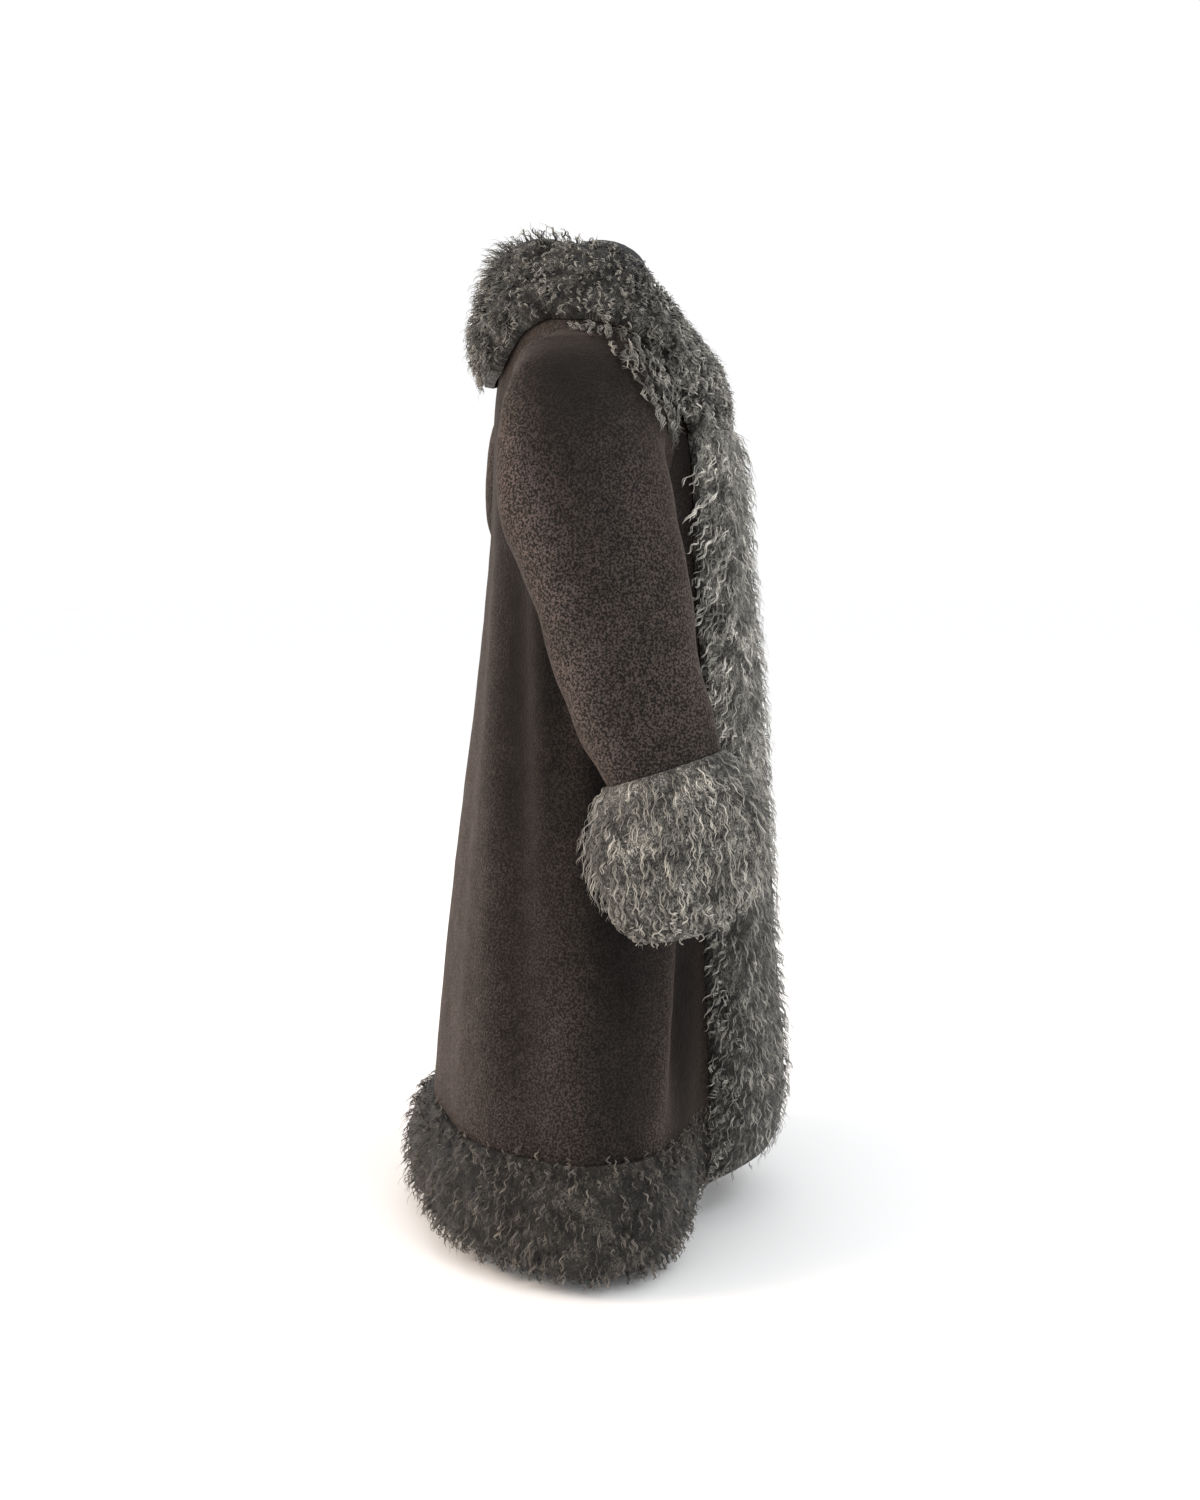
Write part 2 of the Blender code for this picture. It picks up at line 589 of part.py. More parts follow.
def base(name, material, collection):
    """A flat round foot with a boss that takes the pole."""
    soft = 0.003
    profile = [
        (0.0, BOSS_TOP),
        (BOSS_RADIUS - soft, BOSS_TOP),
        (BOSS_RADIUS, BOSS_TOP - soft),
        (BOSS_RADIUS + soft, BASE_THICK + soft),
        (BOSS_RADIUS + 3 * soft, BASE_THICK),
        (BASE_RADIUS - soft, BASE_THICK),
        (BASE_RADIUS, BASE_THICK - soft),
        (BASE_RADIUS, soft / 3),
        (BASE_RADIUS - soft / 3, 0.0),
        (0.0, 0.0),
    ]
    return turned(name, profile, 36, material, collection)


def pole(name, material, collection):
    """The tube from the base's boss to the underside of the form."""
    low, high = BOSS_TOP + SEAM_GAP, FORM_BOTTOM - SEAM_GAP
    bpy.ops.mesh.primitive_cylinder_add(vertices=20, radius=POLE_RADIUS, depth=high - low)
    obj = bpy.context.object
    obj.name = name
    obj.location = (0.0, 0.0, (low + high) / 2)
    obj.data.materials.append(material)
    for owner in list(obj.users_collection):
        owner.objects.unlink(obj)
    collection.objects.link(obj)
    return obj


def build():
    clear_scene()
    coat = bpy.data.collections.new("teddy_coat")
    bpy.context.scene.collection.children.link(coat)
    plush = new_material("plush", (0.062, 0.047, 0.045), 0.85)
    wool = new_material("long_wool", (0.150, 0.142, 0.130), 0.75)
    jersey = new_material("form_jersey", (0.018, 0.019, 0.026), 0.80)
    steel = new_material("brushed_steel", (0.55, 0.55, 0.56), 0.35, 1.0)
    for word, side in (("left", 1), ("right", -1)):
        panel(f"back_{word}", side, 0.0, SIDE_SEAM, plush, coat)
        panel(f"front_{word}", side, 180.0, SIDE_SEAM, plush, coat)
        sleeve(f"sleeve_{word}", side, plush, coat)
        cuff(f"cuff_{word}", side, wool, coat)
        front_band(f"front_band_{word}", side, wool, coat)
    hem_band("hem_band", wool, coat)
    collar("collar", wool, coat)
    form_torso("form_torso", jersey, coat)
    neck_cap("form_neck_cap", jersey, coat)
    pole("form_pole", steel, coat)
    base("form_base", steel, coat)


build()
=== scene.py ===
"""The teddy coat on its limbless dress form, dressed over the CAD frame.

Everything is in metres and degrees in the row frame: the coat's front faces -Y, the
wearer's left is +X, +Z is up and the floor is at nought. The camera stands at the
wearer's right, a little behind. The file follows the coat as it is put together: the
plush body, the sleeves, then the long-wool trims, and last the form it stands on.
"""

import bpy
import numpy as np
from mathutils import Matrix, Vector


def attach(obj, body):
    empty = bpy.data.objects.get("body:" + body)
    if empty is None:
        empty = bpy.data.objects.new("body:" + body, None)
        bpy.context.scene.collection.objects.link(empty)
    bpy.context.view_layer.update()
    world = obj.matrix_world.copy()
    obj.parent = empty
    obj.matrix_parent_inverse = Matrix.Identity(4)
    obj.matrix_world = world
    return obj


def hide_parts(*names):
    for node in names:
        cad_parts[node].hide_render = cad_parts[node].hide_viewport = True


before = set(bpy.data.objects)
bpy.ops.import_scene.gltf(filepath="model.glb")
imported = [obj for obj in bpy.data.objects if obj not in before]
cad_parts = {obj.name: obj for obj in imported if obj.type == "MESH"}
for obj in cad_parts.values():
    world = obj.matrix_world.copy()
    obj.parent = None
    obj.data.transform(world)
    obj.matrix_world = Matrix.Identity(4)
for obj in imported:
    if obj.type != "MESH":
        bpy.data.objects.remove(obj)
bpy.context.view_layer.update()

# ------------------------------------------------------------------ floor, light, camera
# A plain pale studio: a wide floor under a pale sky, a large soft light behind the coat
# that catches its back and the rear of the sleeve, and a weaker one beside the camera.
FLOOR_SIZE = 60.0
SKY_COLOUR = (0.985, 0.988, 0.995)
SKY_STRENGTH = 1.02
FLOOR_COLOUR = (0.99, 0.99, 0.99)
FLOOR_ROUGHNESS = 0.9
# Columns: name, place, aimed at, side in metres, watts, colour
LIGHTS = (
    ("key", (-0.1, 2.8, 1.9), (0.0, 0.0, 0.7), 1.2, 64.0, (1.0, 0.775, 0.60)),
    ("fill", (-2.0, -1.3, 2.6), (0.0, 0.0, 0.6), 1.2, 26.0, (0.96, 0.98, 1.0)),
    ("top", (-0.6, 0.0, 3.2), (0.0, 0.0, 0.8), 1.5, 4.0, (1.0, 1.0, 1.0)),
)
CAMERA_PLACE = (-1.9924, 0.1743, 0.757)
CAMERA_TURN = 5.0  # degrees behind the wearer's right side
CAMERA_PITCH = 6.34  # degrees below the horizon
CAMERA_LENS = 41.04  # mm on a side of 36 mm
CAMERA_SENSOR = 36.0

world = bpy.data.worlds.new("studio")
bpy.context.scene.world = world
world.use_nodes = True
sky = world.node_tree.nodes["Background"]
sky.inputs["Color"].default_value = (*SKY_COLOUR, 1.0)
sky.inputs["Strength"].default_value = SKY_STRENGTH

half = FLOOR_SIZE / 2
floor_mesh = bpy.data.meshes.new("floor")
floor_mesh.from_pydata(
    [(-half, -half, 0), (half, -half, 0), (half, half, 0), (-half, half, 0)],
    [],
    [(0, 1, 2, 3)],
)
floor = bpy.data.objects.new("floor", floor_mesh)
bpy.context.scene.collection.objects.link(floor)
floor_paint = bpy.data.materials.new("floor_paint")
floor_paint.use_nodes = True
floor_shader = floor_paint.node_tree.nodes["Principled BSDF"]
floor_shader.inputs["Base Color"].default_value = (*FLOOR_COLOUR, 1.0)
floor_shader.inputs["Roughness"].default_value = FLOOR_ROUGHNESS
floor_mesh.materials.append(floor_paint)

for name, place, aim, side_size, watts, colour in LIGHTS:
    lamp = bpy.data.lights.new(name, "AREA")
    lamp.shape = "SQUARE"
    lamp.size = side_size
    lamp.energy = watts
    lamp.color = colour
    holder = bpy.data.objects.new(name, lamp)
    holder.location = place
    towards = Vector(aim) - Vector(place)
    holder.rotation_euler = towards.to_track_quat("-Z", "Y").to_euler()
    bpy.context.scene.collection.objects.link(holder)

lens = bpy.data.cameras.new("camera")
lens.sensor_fit = "VERTICAL"
lens.sensor_height = CAMERA_SENSOR
lens.lens = CAMERA_LENS
camera = bpy.data.objects.new("camera", lens)
camera.location = CAMERA_PLACE
turn, pitch = np.radians(CAMERA_TURN), np.radians(CAMERA_PITCH)
level_look = np.array((np.cos(turn), -np.sin(turn), 0.0)) * np.cos(pitch)
looking = Vector(level_look - np.array((0.0, 0.0, np.sin(pitch))))
camera.rotation_euler = looking.to_track_quat("-Z", "Y").to_euler()
bpy.context.scene.collection.objects.link(camera)
bpy.context.scene.camera = camera
bpy.context.scene.view_settings.view_transform = "Standard"
bpy.context.scene.view_settings.look = "None"

# ------------------------------------------------------------------ the plush body
# Two back panels and two front panels of short, dense, plum-brown pile on a knitted
# backing, sewn down the back and down each side. The shell follows the CAD panels' form
# on a finer grid, dips where a seam parts the pile, and takes soft creases.
PLUSH_WALL = 0.005
SEAM_GAP = 0.0003
FRONT_EDGE_GAP = 0.003  # from each front edge to the centre-front plane
ROUNDNESS = 2.25  # of a level's outline: 2 is an oval and more is squarer
# The body of the coat, a row for each level from the hem up. The three heights are those
# at centre back, side and centre front; half_width, back and front reach from the axis;
# centre is how far behind the axis the widest place lies.
# Columns: z_back, z_side, z_front, half_width, back, front, centre
SECTIONS = np.array(
    [
        (0.019, 0.013, 0.076, 0.260, 0.214, 0.205, 0.000),  # 0 hem edge
        (0.128, 0.130, 0.152, 0.252, 0.207, 0.201, 0.000),  # 1 hem seam
        (0.290, 0.288, 0.300, 0.234, 0.189, 0.181, 0.000),  # 2 below the knee
        (0.470, 0.470, 0.476, 0.212, 0.165, 0.168, 0.004),  # 3 thigh
        (0.617, 0.617, 0.617, 0.199, 0.144, 0.156, 0.010),  # 4 hip
        (0.757, 0.757, 0.757, 0.190, 0.129, 0.140, 0.018),  # 5 waist
        (0.862, 0.862, 0.862, 0.188, 0.124, 0.135, 0.024),  # 6 chest
        (0.944, 0.944, 0.944, 0.187, 0.120, 0.112, 0.030),  # 7 shoulder blade
        (1.006, 0.994, 0.998, 0.178, 0.105, 0.078, 0.032),  # 8 shoulder tip
        (1.044, 1.032, 1.030, 0.122, 0.084, 0.058, 0.016),  # 9 middle of the shoulder
        (1.077, 1.064, 1.050, 0.069, 0.061, 0.053, 0.003),  # 10 neckline
    ]
)
HEM_EDGE, HEM_SEAM, NECKLINE = 0, 1, 10
# Large folds of the skirt. Each stands out (or in, where depth is negative) by its depth at
# the hem and dies away at the height top. Positive angles are on the wearer's left.
# Columns: angle, spread, depth, top
FOLDS = np.array(
    [
        (-19.0, 13.0, -0.014, 0.70),
        (-56.0, 9.0, 0.006, 0.86),
        (-83.0, 11.0, 0.028, 0.64),
        (-133.0, 19.0, -0.068, 0.80),
        (23.0, 14.0, -0.013, 0.66),
        (58.0, 9.0, 0.007, 0.84),
        (86.0, 12.0, 0.025, 0.60),
        (131.0, 20.0, -0.062, 0.76),
    ]
)
FOLD_GROWTH, FOLD_MOST = 1.25, 1.2
SIDE_SEAM = 90.0
ARMHOLE_HALF_ANGLE = 32.0
UNDERARM, ARMHOLE_TOP = 5.42, 8.0
ARMHOLE_MIDDLE = (UNDERARM + ARMHOLE_TOP) / 2
ARMHOLE_HALF = (ARMHOLE_TOP - UNDERARM) / 2
# The power that squares the armhole and the sleeve's head at their upper rear: 1 is an
# oval and less is squarer. Columns: ring, power
SQUARED = np.array([(0.0, 0.72), (1.0, 0.50), (2.0, 0.60), (3.0, 0.80), (4.0, 1.00)])

# Soft creases of the body, each a long narrow bell along its own slanting line.
# Columns: angle, level, half length in levels, half width in degrees, slant in degrees a
# level, depth (a trough where negative). Positive angles are on the wearer's left.
BODY_CREASES = np.array(
    [
        (-38.0, 3.3, 2.0, 6.5, 6.7, 0.0060),
        (-55.0, 3.0, 2.2, 7.0, 6.0, -0.0090),
        (-102.0, 1.4, 1.1, 4.0, -8.5, 0.0090),
        (-113.0, 1.5, 1.3, 6.0, -8.5, -0.0170),
        (-30.0, 2.6, 1.3, 4.4, 2.5, 0.0030),
        (-71.0, 4.4, 0.9, 4.2, 5.0, -0.0040),
        (-62.0, 3.6, 1.2, 4.0, 4.0, 0.0030),
        (-97.0, 4.7, 0.8, 4.5, -6.0, -0.0044),
        (-108.0, 3.9, 1.1, 4.0, -5.0, 0.0034),
        (-121.0, 5.0, 0.9, 4.2, -4.0, -0.0032),
        (-7.0, 6.2, 1.0, 4.4, 2.0, -0.0022),
        (9.0, 5.2, 1.4, 4.0, -2.0, -0.0024),
        (41.0, 3.4, 1.9, 6.5, -6.0, 0.0056),
        (57.0, 3.1, 2.1, 7.0, -6.5, -0.0084),
        (104.0, 1.5, 1.1, 4.0, 8.0, 0.0086),
        (115.0, 1.6, 1.3, 6.0, 8.0, -0.0160),
        (31.0, 2.4, 1.2, 4.6, -2.0, 0.0028),
        (73.0, 4.3, 1.0, 4.0, -5.0, -0.0038),
        (64.0, 3.3, 1.2, 4.4, -3.0, 0.0030),
        (99.0, 4.5, 0.9, 4.2, 6.0, -0.0042),
        (110.0, 3.7, 1.1, 4.4, 4.0, 0.0032),
        (122.0, 4.8, 0.9, 4.0, 5.0, -0.0030),
    ]
)
SEAM_DIP = 0.0016  # how far the pile sinks at a seam
SEAM_REACH = 0.006  # over so many metres
PILE_SWELL = 0.0006  # uneven thickness of the pile
# Its waves. Columns: share, the first sine's turns along x, y and z in radians a metre, the
# second's, and the second's phase
SWELL_WAVES = (
    (0.6, (61, 0, 23), (0, 57, -31), 1.0),
    (0.4, (71, 0, 133), (-41, 97, 0), 2.0),
)
# Creases fade over these levels to this share, at the neckline and at the hem seam.
FADE_AT_NECK, FADE_AT_HEM, FADED_SHARE = 1.5, 0.6, 0.04
PANEL_ACROSS, PANEL_ALONG = 40, 66
PANEL_CUT_STEP = (0.01, 0.01)  # metres between grid lines on the UV
SHARP_EDGE = 55.0  # degrees between faces, past which an edge of a thin piece is sharp


def smooth_rows(rows, at):
    """Rows of a table at float row numbers i + p: with end slopes m = half the difference
    of a row's neighbours, a(1+2p)(1-p)^2 + b p^2(3-2p) + m_a p(1-p)^2 + m_b p^2(p-1)."""
    last = len(rows) - 1
    at = np.clip(np.asarray(at, float), 0, last)
    low = np.minimum(at.astype(int), last - 1)
    part = (at - low)[..., None]
    before, after = rows[np.maximum(low - 1, 0)], rows[np.minimum(low + 2, last)]
    start, end = rows[low], rows[low + 1]
    slope_in, slope_out = (end - before) / 2, (after - start) / 2
    return (
        start * (1 + 2 * part) * (1 - part) ** 2
        + end * part**2 * (3 - 2 * part)
        + slope_in * part * (1 - part) ** 2
        + slope_out * part**2 * (part - 1)
    )


def fold_height(angle, z):
    """Sum over the folds of depth * ((top - z) / (top - hem z))^growth *
    exp(-(angle away / spread)^2 / 2), the second factor's base held at 0 to 1.2."""
    total = np.zeros(np.broadcast(angle, z).shape)
    hem_z = SECTIONS[HEM_SEAM, 1]
    for centre, spread, depth, top in FOLDS:
        away = (angle - centre + 180) % 360 - 180
        grown = np.clip((top - z) / (top - hem_z), 0, FOLD_MOST) ** FOLD_GROWTH
        total += depth * grown * np.exp(-0.5 * (away / spread) ** 2)
    return total


def coat_point(angle, level):
    """A superellipse for each level, x = w |sin|^(2/r) and y = c + d |cos|^(2/r) with r the
    roundness, its height blended by cos^2, and stretched by 1 + fold height / radius."""
    angle, level = np.broadcast_arrays(np.asarray(angle, float), np.asarray(level, float))
    row = smooth_rows(SECTIONS, level)
    z_back, z_side, z_front, half_width, back, front, centre = np.moveaxis(row, -1, 0)
    sine, cosine = np.sin(np.radians(angle)), np.cos(np.radians(angle))
    power = 2 / ROUNDNESS
    across = np.sign(sine) * np.abs(sine) ** power
    along = np.sign(cosine) * np.abs(cosine) ** power
    depth = np.where(cosine > 0, back - centre, front + centre)
    end_height = np.where(cosine > 0, z_back, z_front)
    x, y = half_width * across, centre + depth * along
    z = z_side + (end_height - z_side) * cosine**2
    stretch = 1 + fold_height(angle, z) / np.hypot(x, y)
    return np.stack([x * stretch, y * stretch, z], axis=-1)


def ramp(value, over):
    """value / over, held between 0 and 1."""
    return np.clip(value / over, 0, 1)


def unit(vectors):
    """Each vector divided by its length."""
    return vectors / np.maximum(np.linalg.norm(vectors, axis=-1, keepdims=True), 1e-9)


def coat_normal(angle, level):
    """Unit cross product of a small step up the coat and a small step round it."""
    step = 0.02
    level = np.minimum(level, NECKLINE - step)
    round_ = coat_point(angle + step, level) - coat_point(angle - step, level)
    up = coat_point(angle, level + step / 2) - coat_point(angle, level - step / 2)
    return unit(np.cross(up, round_))


def off_coat(angle, level, out):
    """coat point + coat normal * out."""
    angle, level = np.broadcast_arrays(np.asarray(angle, float), np.asarray(level, float))
    return coat_point(angle, level) + coat_normal(angle, level) * np.asarray(out)[..., None]


def angle_for(metres, angle, level):
    """metres divided by the metres that a degree measures round the coat there."""
    step = 0.05
    run = coat_point(angle + step, level) - coat_point(angle - step, level)
    return metres * 2 * step / np.linalg.norm(run, axis=-1)


def armhole_half_angle(level, power):
    """Half angle * (1 - |p|^(2/q))^(q/2), p the level's share of the armhole's half height
    and q the squaring power above its middle and 1 below."""
    place = np.clip((level - ARMHOLE_MIDDLE) / ARMHOLE_HALF, -1, 1)
    power = np.where(place > 0, power, 1.0)
    return ARMHOLE_HALF_ANGLE * (1 - np.abs(place) ** (2 / power)) ** (power / 2)


# Painted light and shade on the pile, with the same columns and a change of brightness: rows below
# nought paint shade, as under the collar and the cuff, beside the sleeve and in the recess by the
# front band; rows above nought paint light, as on a fold's edge.
BODY_PAINTED_SHADING = np.array(
    [
        (0.0, 6.1, 1.1, 27.0, 0.0, -0.55),
        (-46.0, 4.9, 1.4, 13.0, 0.0, -0.50),
        (-60.0, 4.7, 1.5, 13.0, 6.0, -0.45),
        (-58.0, 2.2, 1.8, 8.0, 6.0, -0.35),
        (-98.0, 3.1, 0.7, 12.0, 0.0, -0.50),
        (-77.0, 1.7, 1.2, 6.0, 0.0, 0.15),
        (-89.0, 1.9, 1.7, 8.0, 0.0, -0.45),
        (-126.0, 6.8, 1.5, 11.0, 0.0, -0.90),
        (-102.0, 1.3, 1.0, 3.0, -8.5, 0.50),
        (-121.0, 1.6, 1.6, 13.0, -6.0, -0.85),
        (47.0, 4.8, 1.4, 13.0, 0.0, -0.40),
        (61.0, 4.8, 1.5, 13.0, -6.0, -0.45),
        (59.0, 2.3, 1.7, 8.0, -6.0, -0.35),
        (97.0, 3.1, 0.7, 12.0, 0.0, -0.45),
        (78.0, 1.8, 1.2, 6.0, 0.0, 0.15),
        (89.0, 2.0, 1.7, 8.0, 0.0, -0.40),
        (127.0, 6.8, 1.5, 11.0, 0.0, -0.85),
        (125.0, 1.7, 1.6, 13.0, 6.0, -0.65),
    ]
)


def body_waves(table, angle, level):
    """Sum of depth * exp(-(level away / length)^2 / 2 - (angle from the line / width)^2 / 2)."""
    total = np.zeros(np.broadcast(angle, level).shape)
    for at, height, length, width, slant, depth in table:
        away = (angle - at - slant * (level - height) + 180) % 360 - 180
        total += depth * np.exp(
            -0.5 * ((level - height) / length) ** 2 - 0.5 * (away / width) ** 2
        )
    return total


def swell(points):
    """Sum of share * sin(first . place) * sin(second . place + phase), between -1 and 1."""
    total = 0
    for share, first, second, phase in SWELL_WAVES:
        total = total + share * np.sin(points @ first) * np.sin(points @ second + phase)
    return total


def add_mesh(name, points, polygons, corner_uv, material, sharp=None, painted_shading=None):
    """A mesh object from whole arrays: polygons is a list of arrays of corner indices. It
    is turned outwards where its signed volume, the sum of a . (b x c) / 6, is negative."""
    first = [p[:, :3] for p in polygons]
    second = [p[:, [0, 2, 3]] for p in polygons if p.shape[1] == 4]
    a, b, c = np.moveaxis(points[np.concatenate(first + second)], 1, 0)
    if np.einsum("ij,ij->", a, np.cross(b, c)) < 0:
        polygons = [p[:, ::-1] for p in polygons]
        corner_uv = [uv[:, ::-1] for uv in corner_uv]
    sizes = np.concatenate([np.full(len(p), p.shape[1]) for p in polygons])
    corners = np.concatenate([p.ravel() for p in polygons])
    mesh = bpy.data.meshes.new(name)
    mesh.vertices.add(len(points))
    mesh.vertices.foreach_set("co", points.astype(np.float32).ravel())
    mesh.loops.add(len(corners))
    mesh.loops.foreach_set("vertex_index", corners.astype(np.int32))
    mesh.polygons.add(len(sizes))
    starts = np.concatenate([[0], np.cumsum(sizes)[:-1]])
    mesh.polygons.foreach_set("loop_start", starts.astype(np.int32))
    layer = mesh.uv_layers.new(name="cut")
    flat_uv = np.concatenate([uv.reshape(-1, 2) for uv in corner_uv])
    layer.data.foreach_set("uv", flat_uv.astype(np.float32).ravel())
    mesh.update()
    mesh.shade_smooth()
    if sharp is not None:
        mesh.set_sharp_from_angle(angle=np.radians(sharp))
    # the painted light and shade, kept on the mesh for the pile's colour
    if painted_shading is not None:
        mesh.attributes.new("painted_shading", "FLOAT", "POINT").data.foreach_set("value", painted_shading)
    mesh.materials.append(material)
    obj = bpy.data.objects.new(name, mesh)
    bpy.context.scene.collection.objects.link(obj)
    return obj


def shell(name, outer, inner, metres, material, ring=False, painted_shading=None):
    """A thin closed body between two grids. Its corner at row i and column j of either
    face has the UV (i, j) * metres, and a ring's last row joins its first."""
    rows, columns = outer.shape[:2]
    size = 2 * columns
    points = np.concatenate([outer, inner[:, ::-1]], axis=1).reshape(-1, 3)
    row = np.arange(rows if ring else rows - 1)[:, None]
    place = np.arange(size)[None, :]
    after = (place + 1) % size
    here, there = row * size, (row + 1) % rows * size
    quads = np.stack([here + place, here + after, there + after, there + place], axis=-1)
    column = np.minimum(place, size - 1 - place)
    next_column = np.minimum(after, size - 1 - after)
    u = (row + 0 * place)[..., None] + np.array([0, 0, 1, 1])
    v = np.stack([column, next_column, next_column, column], axis=-1) + 0 * u
    uv = np.stack([u * metres[0], v * metres[1]], axis=-1)
    polygons, corner_uv = [quads.reshape(-1, 4)], [uv.reshape(-1, 4, 2)]
    if not ring:
        step = np.arange(columns - 1)
        for end, turned in ((0, 1), ((rows - 1) * size, -1)):
            far = size - 1 - step
            cap = np.stack([end + step, end + step + 1, end + far - 1, end + far], axis=-1)
            polygons.append(cap[:, ::-turned])
            corner_uv.append(np.zeros((len(cap), 4, 2)))
    if painted_shading is not None:
        painted_shading = np.concatenate([painted_shading, painted_shading[:, ::-1]], axis=1).astype(np.float32).ravel()
    return add_mesh(name, points, polygons, corner_uv, material, SHARP_EDGE, painted_shading)


class Socket:
    """One output of a shader node, or a number, with the arithmetic of Math nodes."""

    def __init__(self, tree, value):
        self.tree, self.value = tree, value

    def node(self, kind, settings=None, inputs=None, output=0):
        """A new node of this kind, its settings and inputs set or linked, as a Socket."""
        made = self.tree.nodes.new(kind)
        for key, value in (settings or {}).items():
            setattr(made, key, value)
        for key, value in (inputs or {}).items():
            if isinstance(value, Socket):
                value = value.value
            if isinstance(value, bpy.types.NodeSocket):
                self.tree.links.new(value, made.inputs[key])
            else:
                made.inputs[key].default_value = value
        return Socket(self.tree, made.outputs[output])

    def maths(self, operation, first, second):
        return self.node("ShaderNodeMath", {"operation": operation}, {0: first, 1: second})

    def __add__(self, other):
        return self.maths("ADD", self, other)

    def __radd__(self, other):
        return self.maths("ADD", other, self)

    def __sub__(self, other):
        return self.maths("SUBTRACT", self, other)

    def __rsub__(self, other):
        return self.maths("SUBTRACT", other, self)

    def __mul__(self, other):
        return self.maths("MULTIPLY", self, other)

    def __rmul__(self, other):
        return self.maths("MULTIPLY", other, self)

    def __pow__(self, other):
        return self.maths("POWER", self, other)

    def mix(self, low, high):
        """low where this is 0 and high where it is 1, for colours."""
        return self.node(
            "ShaderNodeMix",
            {"data_type": "RGBA"},
            {0: self, 6: low, 7: high},
            output=2,
        )

    def noise(self, vector, scale, detail=2.0, rough=0.5, distort=0.0):
        settings = {"Vector": vector, "Scale": scale, "Detail": detail, "Roughness": rough}
        return self.node("ShaderNodeTexNoise", {}, {**settings, "Distortion": distort})

    def spread(self, low, high):
        """This socket's range low..high drawn out to 0..1, and held there."""
        inputs = {"Value": self, "From Min": low, "From Max": high}
        return self.node("ShaderNodeMapRange", {"clamp": True}, inputs)

    def range(self, nought, one, low, high):
        """low where this socket is at nought, high where it is at one."""
        inputs = {"From Min": nought, "From Max": one, "To Min": low, "To Max": high}
        return self.node("ShaderNodeMapRange", {"clamp": True}, {"Value": self, **inputs})

    def bump(self, height, strength, metres):
        """A normal tilted by this height, whose whole range stands for so many metres."""
        inputs = {"Strength": strength, "Distance": metres, "Height": height}
        return self.node("ShaderNodeBump", {}, inputs)


def new_material(name):
    """(material, its Principled shader, a Socket to start from, its object coordinates)."""
    material = bpy.data.materials.new(name)
    material.use_nodes = True
    tree = material.node_tree
    start = Socket(tree, 0.0)
    place = start.node("ShaderNodeTexCoord", output=3)
    return material, tree.nodes["Principled BSDF"], start, place


def feed(shader, start, values):
    """Sets or links each named input of the Principled shader."""
    for key, value in values.items():
        if isinstance(value, Socket):
            start.tree.links.new(value.value, shader.inputs[key])
        else:
            shader.inputs[key].default_value = value


# The pile's colours: a painted shade in the hollows of its grain, and its own colour at its tips,
# each from its darker to its paler tone
PILE_SHADOW = ((0.0020, 0.0016, 0.0014, 1.0), (0.0070, 0.0054, 0.0048, 1.0))
PILE_TIPS = ((0.040, 0.0350, 0.0285, 1.0), (0.108, 0.0805, 0.0735, 1.0))


def plush_material():
    """Dark, soft pile: its colour and roughness drift where the pile is brushed, a fine
    grain breaks it up, painted light and shade kept on the mesh brighten and darken its
    colour, and a sheen lights it where it is seen edge on."""
    material, shader, start, place = new_material("plush")
    drift = start.noise(place, 8.0, 3.0, 0.55, 0.4).spread(0.32, 0.68)
    brushed = start.noise(place, 42.0, 3.0, 0.6, 0.8).spread(0.30, 0.70)
    grain = start.noise(place, 440.0, 2.0, 0.6)
    tone = 0.55 * drift + 0.45 * brushed
    # the grain's hollows, low in its bump, take the painted shade
    speck = grain.spread(0.44, 0.60)
    dark, light = tone.mix(*PILE_SHADOW), tone.mix(*PILE_TIPS)
    height = grain * 0.8 + brushed * 0.5
    # the painted light and shade kept on the mesh scale the pile's colour
    painted_shading = start.node("ShaderNodeAttribute", {"attribute_name": "painted_shading"}, output=2)
    shade = (painted_shading + 0.5).spread(-0.35, 1.65) * 1.6
    shaded = {0: speck.mix(dark, light), "Scale": shade}
    pile = start.node("ShaderNodeVectorMath", {"operation": "SCALE"}, shaded)
    values = {
        "Base Color": pile,
        "Roughness": 0.80 - 0.12 * brushed,
        "Specular IOR Level": 0.15,
        "Sheen Weight": 0.13,
        "Sheen Roughness": 0.55,
        "Sheen Tint": (0.62, 0.46, 0.38, 1.0),
        "Normal": start.bump(height, 0.7, 0.0022),
    }
    feed(shader, start, values)
    return material


def fit(piece, node):
    """Puts a piece on the coat's one body, in place of a CAD node, which it hides."""
    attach(piece, "root")
    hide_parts(node)


